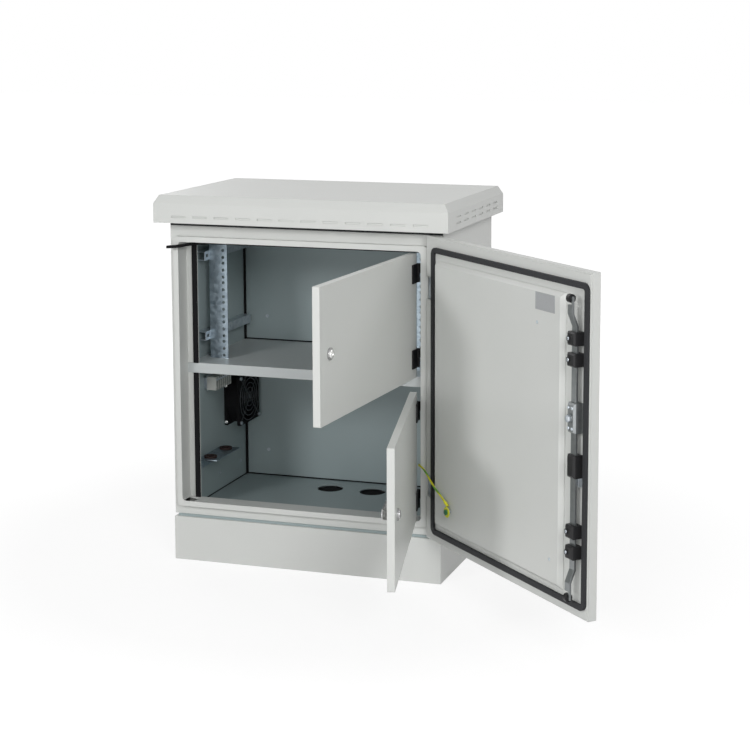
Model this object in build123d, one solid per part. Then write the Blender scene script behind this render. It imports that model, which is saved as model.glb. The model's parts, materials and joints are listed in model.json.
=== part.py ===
from build123d import *
import os
from math import cos, radians, sin

# Roadside utility cabinet. Millimetres, +X right, +Y back, +Z up.
# The origin is the centre of the plinth's underside.

# Overall sizes
body_width = 625.0
body_depth = 390.0
plinth_height = 98.0
seam_gap = 5.0
body_height = 662.0
sheet = 2.0
overrun = 1.0
seat_gap = 0.3

# Plinth and base
plinth_inset = 2.0
plinth_flange = 32.0
anchor_inset = 18.0
anchor_radius = 7.0
collar_inset = 9.0
base_bolt_radius = 5.0
base_bolt_head_radius = 8.5
base_bolt_head = 6.0

# Front frame with its raised sealing lip
lip_height = 12.0
lip_width = 12.0
lip_right_width = 17.0
lip_left_margin = 10.5
lip_right_margin = 29.5
lip_bottom_margin = 20.0
lip_top_margin = 37.0
lip_corner = 10.0
return_depth = 43.0
left_flange = 26.0

# Inner lining
side_cavity = 27.0
back_cavity = 34.0
floor_rise = 8.0
ceiling_drop = 30.0
cable_hole_radius = 30.0
cable_hole_left_x = -44.0
cable_hole_right_x = 60.0
cable_hole_from_back = 74.0
seam_open = 1.5
wall_seam = 7.0
shelf_seam = 4.0
rivet_radius = 4.0
rivet_head = 1.5
rivet_back_z_shares = (0.1, 0.62)
rivet_back_x_shares = (-0.8, 0.8)
rivet_side_z_share = 0.065
rivet_side_y_shares = (0.0, 0.75)

# Divider shelf
shelf_z = 441.0
shelf_flange = 22.5

# Roof hood
roof_side_overhang = 22.0
roof_front_overhang = 27.0
roof_back_overhang = 20.0
roof_skirt = 42.0
roof_chamfer_height = 18.0
roof_chamfer_inset = 10.0
roof_rise = 55.0
louvre_length = 33.0
louvre_height = 4.0
louvre_depth = 3.0
louvre_pitch = 50.0
louvre_row_pitch = 13.0
louvre_drop = 14.0
side_louvre_pitch = 58.0
spacer_radius = 9.0
spacer_inset = 60.0

# Rack rails: their place from the lining gives the 19-inch pattern's 465.1 between hole columns
rail_from_lining = 19.95
rack_unit = 44.45
rack_hole_step = 15.875
rack_hole_radius = 3.5
rail_from_front = 110.0
rail_outer_margin = 33.0
rail_inner_margin = 10.0
rail_leg = 40.0
rail_top_gap = 4.0
bracket_front_reach = 24.0
bracket_height = 20.0
bracket_back_gap = 14.0
bracket_upper_drop = 61.0
bracket_lower_rise = 52.0
bracket_slot_length = 12.0
bracket_slot_radius = 3.5
bracket_slot_from_end = 13.0
screw_radius = 4.0
screw_head = 3.0

# Inner door seal and top strip
seal_width = 11.0
seal_thickness = 4.5
seal_from_edge = 0.5
strip_diameter = 5.0
strip_run_count = 9
strip_run_right_gap = 10.0
strip_run_left_gap = 84.0
strip_from_flange = 9.0
strip_wave = 1.0
strip_drop = 3.2
arc_share = 0.45

# Axial fan
fan_size = 119.0
fan_depth = 38.0
fan_from_back = 71.0
fan_center_z = 316.0
fan_bore_radius = 56.0
fan_hub_radius = 20.0
fan_blade_clearance = 1.5
fan_blade_count = 7
fan_blade_thickness = 2.0
fan_blade_pitch = 38.0
fan_hole_spacing = 105.0
fan_corner_radius = 6.0
fan_spoke = 5.0
fan_back = 3.0
fan_shaft_radius = 4.0
fan_flange = 6.0
fan_nose = 5.0
fan_cap = 3.0
fan_waist_share = 1.02
fan_chord_share = 0.8
guard_eye_radius = 5.0
guard_wire = 1.6
guard_ring_pitch = 11.0
guard_ring_count = 5

# Cable bracket and terminal rail on the left lining
cable_plate_z = 213.0
cable_plate_from_front = 73.0
cable_plate_length = 130.0
cable_plate_reach = 48.0
cable_plate_flange = 26.0
grommet_radius = 14.5
grommet_bore = 8.0
grommet_height = 9.0
grommet_first = 23.0
grommet_second = 108.0
grommet_from_wall = 22.0
terminal_z = 379.0
terminal_fan_gap = 18.5
terminal_rail_length = 92.0
terminal_rail_height = 35.0
terminal_rail_depth = 7.5
terminal_rail_lip = 5.0
terminal_width = 10.0
terminal_pitch = 11.0
terminal_height = 30.0
terminal_depth = 22.0
terminal_slot = 5.0

# Outer door
door_open_angle = 136.0
door_left_margin = 1.5
door_right_margin = 4.5
door_bottom_gap = 3.0
door_top_gap = 12.0
door_pan_depth = 17.0
door_border = 26.0
door_lip_gap = 6.0
liner_edge_gap = 4.0
liner_left_margin = 82.5
liner_right_margin = 54.5
liner_bottom_margin = 43.0
liner_top_margin = 59.0
liner_rise = 10.0
liner_chamfer = 8.0
gasket_width = 11.0
gasket_clear = 0.5
gasket_corner = 16.0
gasket_shift_top = 5.0
gasket_shift_left = 5.0
gasket_shift_right = 3.0
door_hinge_x_margin = 16.5
door_hinge_forward = 14.5
hinge_top_margin = 109.0
hinge_bottom_margin = 115.0
hinge_arm_height = 44.0
hinge_slot_gap = 2.0
hinge_ear = 5.0
hinge_pin_radius = 3.0
pin_clearance = 0.05
hinge_arm = 3.0
hinge_arm_offset = 9.0
hinge_foot = 8.0
hinge_knuckle_radius = 5.0

# Lock line on the outer door
lock_x_margin = 36.5
rod_width = 16.0
rod_thickness = 4.0
rod_stand_off = 11.0
rod_joggle = 10.0
rod_joggle_run = 24.0
rod_end_run = 16.0
rod_start_gap = 3.0
roller_radius = 8.0
roller_width = 9.0
roller_gap = 0.4
roller_pin_radius = 2.5
roller_pin_head = 4.0
roller_pin_head_height = 1.5
roller_lip_gap = 4.0
guide_width = 25.0
guide_height = 25.0
guide_depth = 22.0
guide_gap = 0.3
guide_chamfer = 3.0
guide_from_mouth_top = 86.0
guide_from_mouth_bottom = 97.0
guide_pitch = 39.0
gearbox_share = 0.6
gearbox_height = 56.0
gearbox_width = 25.0
gearbox_depth = 20.0
gearbox_boss_radius = 9.0
gearbox_boss = 3.0
gearbox_chamfer = 4.0
cover_share = 0.445
cover_height = 43.0
cover_width = 25.0
cover_depth = 20.0
cover_chamfer = 4.0
cover_bracket_height = 16.0
cover_bracket_depth = 8.0
escutcheon_width = 42.0
escutcheon_height = 190.0
escutcheon_thickness = 4.0
escutcheon_corner = 10.0
handle_hub_radius = 15.0
handle_hub = 8.0
handle_length = 140.0
handle_width = 24.0
handle_thickness = 7.0
handle_round = 3.0
spindle_half = 4.0
spindle_hole = 6.0

# Inner doors
upper_open_angle = 87.0
lower_open_angle = 103.0
inner_door_depth = 15.0
inner_door_left_gap = 33.0
inner_door_right_gap = 18.0
inner_door_flange = 18.0
inner_door_front_step = 23.0
upper_door_bottom_gap = 4.0
upper_door_top_gap = 5.2
lower_door_bottom_gap = 3.0
lower_door_top_gap = 4.5
inner_hinge_height = 40.0
inner_hinge_radius = 4.0
inner_pin_radius = 2.0
inner_hinge_end_margin = 42.0
inner_hinge_from_return = 12.0
inner_hinge_forward = 2.0
inner_leaf = 3.0
inner_leaf_width = 26.0
inner_leaf_front = 12.0
inner_leaf_back = 16.0
lock_from_edge = 45.0
lock_radius = 10.0
lock_head = 3.0
lock_head_radius = 12.0
cam_length = 66.0
cam_width = 16.0
cam_thickness = 3.0
cam_behind_flange = 4.0
key_slot_width = 2.0
key_slot_length = 9.0
key_slot_depth = 2.0

# Earth wire from the frame to the outer door
wire_radius = 2.2
stud_radius = 3.0
stud_length = 7.0
lug_radius = 9.0
lug_thickness = 2.0
frame_stud_z = 253.0
frame_stud_from_flange = 16.0
door_stud_from_edge = 122.0
door_stud_z = 193.0

# Places that several pieces share
half_width = body_width / 2
front_y = -body_depth / 2
back_y = body_depth / 2
body_bottom = plinth_height + seam_gap
body_top = body_bottom + body_height
face_y = front_y + lip_height
lip_left = -half_width + lip_left_margin
lip_right = half_width - lip_right_margin
lip_bottom = body_bottom + lip_bottom_margin
lip_top = body_top - lip_top_margin
mouth_left = lip_left + lip_width
mouth_right = lip_right - lip_right_width
mouth_bottom = lip_bottom + lip_width
mouth_top = lip_top - lip_width
mouth_height = mouth_top - mouth_bottom
flange_y = front_y + return_depth
lining_left = -half_width + side_cavity
lining_right = half_width - side_cavity
lining_back = back_y - back_cavity
floor_z = body_bottom + floor_rise
ceiling_z = body_top - ceiling_drop
roof_top_z = body_top + roof_rise
rack_hole_x = lining_right - rail_from_lining - rail_outer_margin
rail_front_y = front_y + rail_from_front
bracket_back_y = lining_back - bracket_back_gap
cable_hole_y = lining_back - cable_hole_from_back
fan_center_y = lining_back - fan_from_back
cable_plate_front_y = front_y + cable_plate_from_front
cable_plate_back_y = cable_plate_front_y + cable_plate_length
grommet_front_y = cable_plate_front_y + grommet_first
grommet_back_y = cable_plate_front_y + grommet_second
terminal_back_y = fan_center_y - fan_size / 2 - terminal_fan_gap
terminal_front_y = terminal_back_y - terminal_rail_length
door_left = -half_width + door_left_margin
door_right = half_width - door_right_margin
door_bottom = body_bottom + door_bottom_gap
door_top = body_top - door_top_gap
liner_y = front_y - door_lip_gap
pan_back_y = liner_y - sheet
door_front_y = pan_back_y - door_pan_depth
hinge_upper_z = door_top - hinge_top_margin
hinge_lower_z = door_bottom + hinge_bottom_margin
door_axis_x = half_width - door_hinge_x_margin
door_axis_y = front_y - door_hinge_forward
inner_front_y = front_y + inner_door_front_step
inner_back_y = inner_front_y + inner_door_depth
inner_left = mouth_left + inner_door_left_gap
inner_right = mouth_right - inner_door_right_gap
inner_axis_x = mouth_right - inner_hinge_from_return
inner_axis_y = inner_front_y - inner_hinge_forward
upper_bottom = shelf_z + upper_door_bottom_gap
upper_top = mouth_top - upper_door_top_gap
lower_bottom = mouth_bottom + lower_door_bottom_gap
lower_top = shelf_z - shelf_flange - lower_door_top_gap
lock_x = -half_width + lock_x_margin
rod_y = liner_y + rod_stand_off
guide_upper_outer_z = mouth_top - guide_from_mouth_top
guide_upper_inner_z = guide_upper_outer_z - guide_pitch
guide_lower_outer_z = mouth_bottom + guide_from_mouth_bottom
guide_lower_inner_z = guide_lower_outer_z + guide_pitch
gearbox_z = mouth_bottom + mouth_height * gearbox_share
cover_z = mouth_bottom + mouth_height * cover_share
frame_stud_y = flange_y - frame_stud_from_flange
door_stud_x = door_right - door_stud_from_edge
hinge_slot_half = hinge_arm_height / 2 + hinge_slot_gap

# Routes of the two cords at rest, as offsets from the frame's mouth
strip_tail_offsets = (
    (44.0, 31.0, -4.0),
    (23.0, 17.0, -6.0),
    (4.0, -14.0, -8.5),
    (-27.0, -13.0, -10.5),
)
wire_offsets = (
    (-5.0, 16.4, 253.0),
    (-5.0, -5.0, 262.0),
    (19.0, -31.0, 258.0),
    (47.8, -68.3, 236.0),
    (76.9, -95.2, 219.0),
    (92.1, -106.4, 205.0),
)


def strip_route():
    """Along the mouth's top with a slight wave, then out past the lip on the left."""
    first = mouth_right - strip_run_right_gap
    step = (first - mouth_left - strip_run_left_gap) / (strip_run_count - 1)
    run = []
    for index in range(strip_run_count):
        wave = strip_wave * (index % 2)
        run.append((first - index * step, flange_y - strip_from_flange - wave, mouth_top - strip_drop))
    return run + [(mouth_left + x, front_y + y, mouth_top + z) for x, y, z in strip_tail_offsets]


def wire_route():
    return [(mouth_right + x, front_y + y, z) for x, y, z in wire_offsets]


def block(x0, x1, y0, y1, z0, z1):
    """Rectangular block between two corners."""
    middle = Pos((x0 + x1) / 2, (y0 + y1) / 2, (z0 + z1) / 2)
    return middle * Box(x1 - x0, y1 - y0, z1 - z0)


def along_x(radius, x0, x1, y, z):
    """Round bar along X."""
    return Pos((x0 + x1) / 2, y, z) * Rot(0, 90, 0) * Cylinder(radius, x1 - x0)


def along_y(radius, y0, y1, x, z):
    """Round bar along Y."""
    return Pos(x, (y0 + y1) / 2, z) * Rot(90, 0, 0) * Cylinder(radius, y1 - y0)


def along_z(radius, z0, z1, x, y):
    """Round bar along Z."""
    return Pos(x, y, (z0 + z1) / 2) * Cylinder(radius, z1 - z0)


def slab(x0, x1, y0, y1, z0, z1, corner):
    """Upright plate with rounded corners, facing the front."""
    face = RectangleRounded(x1 - x0, z1 - z0, corner)
    return Pos((x0 + x1) / 2, y1, (z0 + z1) / 2) * Rot(90, 0, 0) * extrude(face, y1 - y0)


def ring(x0, x1, y0, y1, z0, z1, rim, corner):
    """Upright ring with rounded outer corners."""
    inner_corner = max(corner - rim, sheet / 2)
    outer = slab(x0, x1, y0, y1, z0, z1, corner)
    hole = slab(x0 + rim, x1 - rim, y0 - overrun, y1 + overrun, z0 + rim, z1 - rim, inner_corner)
    return outer - hole


def swing(piece, x, y, angle):
    """Turn a piece about an upright axis through x, y."""
    return Pos(x, y, 0) * Rot(0, 0, angle) * Pos(-x, -y, 0) * piece


def open_door(piece):
    return swing(piece, door_axis_x, door_axis_y, door_open_angle)


def open_upper(piece):
    return swing(piece, inner_axis_x, inner_axis_y, upper_open_angle)


def open_lower(piece):
    return swing(piece, inner_axis_x, inner_axis_y, lower_open_angle)


def save(name, pieces):
    """Write one node from one solid or from several separate solids."""
    if not isinstance(pieces, list):
        pieces = [pieces]
    solids = [solid for piece in pieces for solid in piece.solids()]
    shape = solids[0] if len(solids) == 1 else Compound(children=solids)
    shape.label = name
    export_step(shape, os.path.join("parts", name + ".step"))


def corners(x_inset, y_inset):
    """The four places at an inset from the plinth's outer edges."""
    x = half_width - plinth_inset - x_inset
    y = back_y - plinth_inset - y_inset
    return [(-x, -y), (x, -y), (-x, y), (x, y)]


# Plinth: a folded sheet skirt with flanges above and below
def plinth():
    x = half_width - plinth_inset
    y = back_y - plinth_inset
    skirt = block(-x, x, -y, y, 0, plinth_height)
    skirt -= block(-x + sheet, x - sheet, -y + sheet, y - sheet, sheet, plinth_height - sheet)
    mouth_x = x - plinth_flange
    mouth_y = y - plinth_flange
    skirt -= block(-mouth_x, mouth_x, -mouth_y, mouth_y, -overrun, plinth_height + overrun)
    for place_x, place_y in corners(anchor_inset, anchor_inset):
        skirt -= along_z(anchor_radius, -overrun, sheet + overrun, place_x, place_y)
        skirt -= along_z(base_bolt_radius, plinth_height - sheet - overrun, plinth_height + overrun,
                         place_x, place_y)
    return skirt


def base_collar():
    x = half_width - collar_inset
    y = back_y - collar_inset
    collar = block(-x, x, -y, y, plinth_height, body_bottom)
    mouth_x = half_width - plinth_inset - plinth_flange
    mouth_y = back_y - plinth_inset - plinth_flange
    collar -= block(-mouth_x, mouth_x, -mouth_y, mouth_y, plinth_height - overrun, body_bottom + overrun)
    for place_x, place_y in corners(anchor_inset, anchor_inset):
        collar -= along_z(base_bolt_radius, plinth_height - overrun, body_bottom + overrun, place_x, place_y)
    return collar


def base_bolts():
    bolts = []
    for place_x, place_y in corners(anchor_inset, anchor_inset):
        head_top = plinth_height - sheet
        hexagon = RegularPolygon(base_bolt_head_radius, 6)
        head = Pos(place_x, place_y, head_top - base_bolt_head) * extrude(hexagon, base_bolt_head)
        shank = along_z(base_bolt_radius, head_top, body_bottom, place_x, place_y)
        bolts.append(head + shank)
    return bolts


def cable_holes(z0, z1):
    """Cutters for the two cable entries."""
    left = along_z(cable_hole_radius, z0, z1, cable_hole_left_x, cable_hole_y)
    right = along_z(cable_hole_radius, z0, z1, cable_hole_right_x, cable_hole_y)
    return [left, right]


def bottom_pan():
    inner_x = half_width - sheet
    pan = block(-inner_x, inner_x, face_y + sheet, back_y - sheet, body_bottom, body_bottom + sheet)
    for hole in cable_holes(body_bottom - overrun, body_bottom + sheet + overrun):
        pan -= hole
    return pan


def floor_plate():
    left = lining_left + seam_open
    right = lining_right - seam_open
    back = lining_back - seam_open
    plate = block(left, right, flange_y + sheet, back, floor_z - sheet, floor_z)
    skirt_z = body_bottom + sheet
    plate += block(left, left + sheet, flange_y + sheet, back, skirt_z, floor_z - sheet)
    plate += block(right - sheet, right, flange_y + sheet, back, skirt_z, floor_z - sheet)
    for hole in cable_holes(floor_z - sheet - overrun, floor_z + overrun):
        plate -= hole
    return plate


# Outer walls
def side_panel(side):
    x_out = half_width * side
    x_in = x_out - sheet * side
    wall = block(min(x_out, x_in), max(x_out, x_in), face_y + sheet, back_y, body_bottom, body_top)
    return wall


def rear_panel():
    inner_x = half_width - sheet
    return block(-inner_x, inner_x, back_y - sheet, back_y, body_bottom, body_top)


def top_deck():
    inner_x = half_width - sheet
    return block(-inner_x, inner_x, face_y + sheet, back_y - sheet, body_top - sheet, body_top)


def lip_slots():
    """Cutters through the return where the lock rollers enter."""
    half = roller_width + rod_thickness
    y0 = rod_y + rod_joggle - roller_radius - roller_lip_gap
    y1 = rod_y + rod_joggle + roller_radius + roller_lip_gap + rod_thickness
    upper = block(lock_x - half, lock_x + half, y0, y1, mouth_top - overrun, mouth_top + sheet + overrun)
    lower = block(lock_x - half, lock_x + half, y0, y1,
                  mouth_bottom - sheet - overrun, mouth_bottom + overrun)
    return upper, lower


def front_frame():
    face = block(-half_width, half_width, face_y, face_y + sheet, body_bottom, body_top)
    face -= block(lip_left + sheet, lip_right - sheet, face_y - overrun, face_y + sheet + overrun,
                  lip_bottom + sheet, lip_top - sheet)
    wall = ring(lip_left, lip_right, front_y, face_y + sheet, lip_bottom, lip_top, sheet, lip_corner)
    lip = slab(lip_left, lip_right, front_y, front_y + sheet, lip_bottom, lip_top, lip_corner)
    mouth = slab(mouth_left, mouth_right, front_y - overrun, flange_y + overrun,
                 mouth_bottom, mouth_top, lip_corner - sheet)
    back_ring = slab(mouth_left - sheet, mouth_right + sheet, front_y, flange_y,
                     mouth_bottom - sheet, mouth_top + sheet, lip_corner)
    frame = face + wall + (lip - mouth) + (back_ring - mouth)
    left_strip = block(mouth_left - sheet, mouth_left + left_flange, flange_y, flange_y + sheet,
                       mouth_bottom - sheet, mouth_top + sheet)
    right_strip = block(mouth_right, lining_right + sheet, flange_y, flange_y + sheet,
                        mouth_bottom - sheet, mouth_top + sheet)
    top_strip = block(mouth_left - sheet, lining_right + sheet, flange_y, flange_y + sheet,
                      mouth_top, ceiling_z + sheet)
    bottom_strip = block(mouth_left - sheet, lining_right + sheet, flange_y, flange_y + sheet,
                         body_bottom + sheet, mouth_bottom)
    frame += left_strip + right_strip + top_strip + bottom_strip
    for slot in lip_slots():
        frame -= slot
    return frame


# Inner lining
def lining_side(side):
    x_in = lining_right * side
    x_out = x_in + sheet * side
    return block(min(x_in, x_out), max(x_in, x_out), flange_y + sheet, lining_back - wall_seam,
                 body_bottom + sheet, ceiling_z)


def lining_back_panel():
    left = lining_left - sheet
    right = lining_right + sheet
    return block(left, right, lining_back, lining_back + sheet, body_bottom + sheet, ceiling_z)


def ceiling_panel():
    left = lining_left - sheet
    right = lining_right + sheet
    return block(left, right, flange_y + sheet, lining_back + sheet, ceiling_z, ceiling_z + sheet)


def divider_shelf():
    left = lining_left
    right = lining_right
    rear = lining_back - shelf_seam
    deck = block(left, right, flange_y + sheet, rear, shelf_z - sheet, shelf_z)
    front = block(mouth_left, mouth_right, flange_y - sheet, flange_y, shelf_z - shelf_flange, shelf_z)
    neck = block(mouth_left + left_flange, mouth_right, flange_y, flange_y + sheet, shelf_z - sheet, shelf_z)
    back = block(left, right, rear - sheet, rear, shelf_z - shelf_flange, shelf_z - sheet)
    return deck + front + neck + back


def panel_rivets():
    rivets = []
    for z_share in rivet_back_z_shares:
        z = floor_z + (ceiling_z - floor_z) * z_share
        for x_share in rivet_back_x_shares:
            x = lining_right * x_share
            rivets.append(along_y(rivet_radius, lining_back - rivet_head, lining_back, x, z))
    z = floor_z + (ceiling_z - floor_z) * rivet_side_z_share
    for y_share in rivet_side_y_shares:
        y = lining_back * y_share
        rivets.append(along_x(rivet_radius, lining_left, lining_left + rivet_head, y, z))
        rivets.append(along_x(rivet_radius, lining_right - rivet_head, lining_right, y, z))
    return rivets


# Roof hood: a folded pan with a chamfered upper edge and pressed louvres
def hood_form(inset):
    x0 = -half_width - roof_side_overhang + inset
    x1 = half_width + roof_side_overhang - inset
    y0 = front_y - roof_front_overhang + inset
    y1 = back_y + roof_back_overhang - inset
    bottom_z = roof_top_z - roof_chamfer_height - roof_skirt
    top_z = roof_top_z - inset
    form = block(x0, x1, y0, y1, bottom_z - (overrun if inset else 0), top_z)
    top_edges = form.edges().filter_by(GeomType.LINE).group_by(Axis.Z)[-1]
    return chamfer(top_edges, roof_chamfer_height, roof_chamfer_inset)


def louvre_heights(rows):
    top = roof_top_z - roof_chamfer_height - louvre_drop
    return [top - row * louvre_row_pitch for row in range(rows)]


def roof_hood():
    hood = hood_form(0) - hood_form(sheet)
    y0 = front_y - roof_front_overhang
    count = int(body_width // louvre_pitch)
    low = roof_top_z - roof_chamfer_height - roof_skirt + louvre_drop
    for index in range(count):
        x = (index - (count - 1) / 2) * louvre_pitch
        hood -= block(x - louvre_length / 2, x + louvre_length / 2, y0 - overrun, y0 + louvre_depth,
                      low - louvre_height / 2, low + louvre_height / 2)
    count = int(body_depth // side_louvre_pitch)
    for z in louvre_heights(2):
        for index in range(count):
            y = (index - (count - 1) / 2) * side_louvre_pitch
            for side in (-1, 1):
                x_out = (half_width + roof_side_overhang) * side
                hood -= block(x_out - louvre_depth, x_out + louvre_depth, y - louvre_length / 2,
                              y + louvre_length / 2, z - louvre_height / 2, z + louvre_height / 2)
    return hood


def roof_spacers():
    spacers = []
    for x in (-half_width + spacer_inset, half_width - spacer_inset):
        for y in (front_y + spacer_inset, back_y - spacer_inset):
            spacers.append(along_z(spacer_radius, body_top, roof_top_z - sheet, x, y))
    return spacers


# Rack rails: angle sections that stand on the shelf
def rail_holes():
    """Heights of the rack holes above the shelf, in whole units."""
    units = int((ceiling_z - rail_top_gap - shelf_z) // rack_unit)
    first = (rack_unit - 2 * rack_hole_step) / 2
    lowest = shelf_z + first
    return [lowest + unit * rack_unit + step * rack_hole_step for unit in range(units) for step in range(3)]


def rail_span(side):
    """Inner and outer edges of a rail's front leg."""
    hole_x = rack_hole_x * side
    return hole_x - rail_inner_margin * side, hole_x + rail_outer_margin * side


def rack_rail(side):
    inner_x, outer_x = rail_span(side)
    top = ceiling_z - rail_top_gap
    leg_x = outer_x - sheet * side
    front = block(min(inner_x, outer_x), max(inner_x, outer_x), rail_front_y, rail_front_y + sheet,
                  shelf_z, top)
    leg = block(min(leg_x, outer_x), max(leg_x, outer_x), rail_front_y, rail_front_y + rail_leg,
                shelf_z, top)
    rail = front + leg
    for z in rail_holes():
        rail -= along_y(rack_hole_radius, rail_front_y - overrun, rail_front_y + sheet + overrun,
                        rack_hole_x * side, z)
    return rail


def bracket_heights():
    return [shelf_z + bracket_lower_rise, ceiling_z - bracket_upper_drop]


def rail_brackets(side):
    """Slotted channels on the lining that carry a rail's side leg."""
    outer_x = rail_span(side)[1]
    wall_x = lining_right * side
    web_x = outer_x + sheet * side
    past_x = wall_x + overrun * side
    y0 = rail_front_y - bracket_front_reach
    slot_y = y0 + bracket_slot_from_end
    slot_half = bracket_slot_length / 2
    channels = []
    for z in bracket_heights():
        low = z - bracket_height / 2
        high = z + bracket_height / 2
        channel = block(min(outer_x, wall_x), max(outer_x, wall_x), y0, bracket_back_y, low, high)
        channel -= block(min(past_x, web_x), max(past_x, web_x), y0 - overrun, bracket_back_y + overrun,
                         low + sheet, high - sheet)
        channel -= block(min(outer_x, web_x) - overrun, max(outer_x, web_x) + overrun, slot_y - slot_half,
                         slot_y + slot_half, z - bracket_slot_radius, z + bracket_slot_radius)
        channels.append(channel)
    return channels


def rail_screws():
    screws = []
    for side in (-1, 1):
        face_x = rail_span(side)[1] - sheet * side
        head_x = face_x - screw_head * side
        for z in bracket_heights():
            low = min(face_x, head_x)
            screws.append(along_x(screw_radius, low, low + screw_head, rail_front_y + rail_leg / 2, z))
    return screws


# Rubber seals inside the mouth
def inner_door_seal():
    x1 = mouth_left + left_flange - seal_from_edge
    x0 = x1 - seal_width
    y0 = flange_y - seal_thickness
    lower = block(x0, x1, y0, flange_y, mouth_bottom, shelf_z - shelf_flange)
    upper = block(x0, x1, y0, flange_y, shelf_z, mouth_top)
    return [lower, upper]


def tube(points, radii, radius):
    """Round cord along straight runs joined by arcs."""
    path = FilletPolyline(*points, radius=radii)
    section = Plane(origin=path @ 0, z_dir=path % 0) * Circle(radius)
    return sweep(section, path=path)


def arc_radii(points):
    """The largest arc that the two runs beside each corner allow."""
    radii = []
    for before, here, after in zip(points, points[1:], points[2:]):
        first = Vector(*here) - Vector(*before)
        second = Vector(*after) - Vector(*here)
        turn = radians(first.get_angle(second))
        shorter = min(first.length, second.length)
        radii.append(arc_share * shorter * cos(turn / 2) / sin(turn / 2))
    return radii


def top_seal_strip():
    points = strip_route()
    radii = arc_radii(points)
    print("seal strip arcs", [round(radius, 1) for radius in radii])
    return tube(points, radii, strip_diameter / 2)


# Axial fan on the left lining
def fan_frame():
    x0 = lining_left
    half = fan_size / 2
    frame = block(x0, x0 + fan_depth, fan_center_y - half, fan_center_y + half,
                  fan_center_z - half, fan_center_z + half)
    frame = fillet(frame.edges().filter_by(Axis.X), fan_corner_radius)
    frame -= along_x(fan_bore_radius, x0 - overrun, x0 + fan_depth + overrun, fan_center_y, fan_center_z)
    waist = ring_x(half * fan_waist_share, half + overrun, x0 + fan_flange, x0 + fan_depth - fan_flange)
    frame -= waist
    reach = fan_bore_radius + overrun
    frame += block(x0, x0 + fan_back, fan_center_y - reach, fan_center_y + reach,
                   fan_center_z - fan_spoke / 2, fan_center_z + fan_spoke / 2)
    frame += block(x0, x0 + fan_back, fan_center_y - fan_spoke / 2, fan_center_y + fan_spoke / 2,
                   fan_center_z - reach, fan_center_z + reach)
    frame += along_x(fan_hub_radius, x0, x0 + fan_back, fan_center_y, fan_center_z)
    frame += along_x(fan_shaft_radius, x0, x0 + fan_depth - fan_nose - fan_cap - seat_gap,
                     fan_center_y, fan_center_z)
    return frame


def ring_x(inner, outer, x0, x1):
    """Square outside, round inside: the waist between the fan's two flanges."""
    outside = block(x0, x1, fan_center_y - outer, fan_center_y + outer,
                    fan_center_z - outer, fan_center_z + outer)
    return outside - along_x(inner, x0 - overrun, x1 + overrun, fan_center_y, fan_center_z)


def fan_rotor():
    x0 = lining_left + fan_back + fan_blade_clearance
    x1 = lining_left + fan_depth - fan_nose
    middle = (x0 + x1) / 2
    hub = along_x(fan_hub_radius, x0, x1, fan_center_y, fan_center_z)
    tip = fan_bore_radius - fan_blade_clearance
    root = fan_hub_radius - fan_blade_thickness
    chord = (x1 - x0) * fan_chord_share
    blade = Rot(0, 0, fan_blade_pitch) * Box(chord, fan_blade_thickness, tip - root)
    blade = Pos(0, 0, (root + tip) / 2) * blade
    for index in range(fan_blade_count):
        hub += Pos(middle, fan_center_y, fan_center_z) * Rot(index * 360 / fan_blade_count, 0, 0) * blade
    hub -= along_x(fan_shaft_radius + pin_clearance, x0 - overrun, x1 - fan_cap, fan_center_y, fan_center_z)
    return hub


def fan_guard():
    x0 = lining_left + fan_depth
    x1 = x0 + guard_wire
    guard = along_x(guard_eye_radius, x0, x1, fan_center_y, fan_center_z)
    for index in range(1, guard_ring_count + 1):
        radius = index * guard_ring_pitch
        outer = along_x(radius + guard_wire / 2, x0, x1, fan_center_y, fan_center_z)
        inner = radius - guard_wire / 2
        guard += outer - along_x(inner, x0 - overrun, x1 + overrun, fan_center_y, fan_center_z)
    reach = fan_hole_spacing
    for turn in (45, 135):
        bar = Pos((x0 + x1) / 2, fan_center_y, fan_center_z) * Rot(turn, 0, 0)
        guard += bar * Box(guard_wire, guard_wire, reach * 2 ** 0.5)
    for y, z in fan_corners():
        guard += along_x(guard_eye_radius, x0, x1, y, z)
    return guard


def fan_corners():
    half = fan_hole_spacing / 2
    return [(fan_center_y + a * half, fan_center_z + b * half) for a in (-1, 1) for b in (-1, 1)]


def fan_screws():
    x0 = lining_left + fan_depth + guard_wire
    return [along_x(screw_radius, x0, x0 + screw_head, y, z) for y, z in fan_corners()]


# Cable bracket with two grommets
def cable_bracket():
    x0 = lining_left
    plate = block(x0, x0 + cable_plate_reach, cable_plate_front_y, cable_plate_back_y,
                  cable_plate_z - sheet, cable_plate_z)
    plate += block(x0, x0 + sheet, cable_plate_front_y, cable_plate_back_y,
                   cable_plate_z - cable_plate_flange, cable_plate_z)
    for y in (grommet_front_y, grommet_back_y):
        neck = grommet_radius - sheet
        plate -= along_z(neck, cable_plate_z - sheet - overrun, cable_plate_z + overrun,
                         x0 + grommet_from_wall, y)
    return plate


def cable_grommets():
    grommets = []
    x = lining_left + grommet_from_wall
    for y in (grommet_front_y, grommet_back_y):
        low = cable_plate_z - sheet - grommet_height / 2
        high = cable_plate_z + grommet_height / 2
        grommet = along_z(grommet_radius, cable_plate_z, high, x, y)
        grommet += along_z(grommet_radius - sheet, low, high, x, y)
        grommet -= along_z(grommet_bore, high - sheet, high + overrun, x, y)
        grommets.append(grommet)
    return grommets


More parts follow.
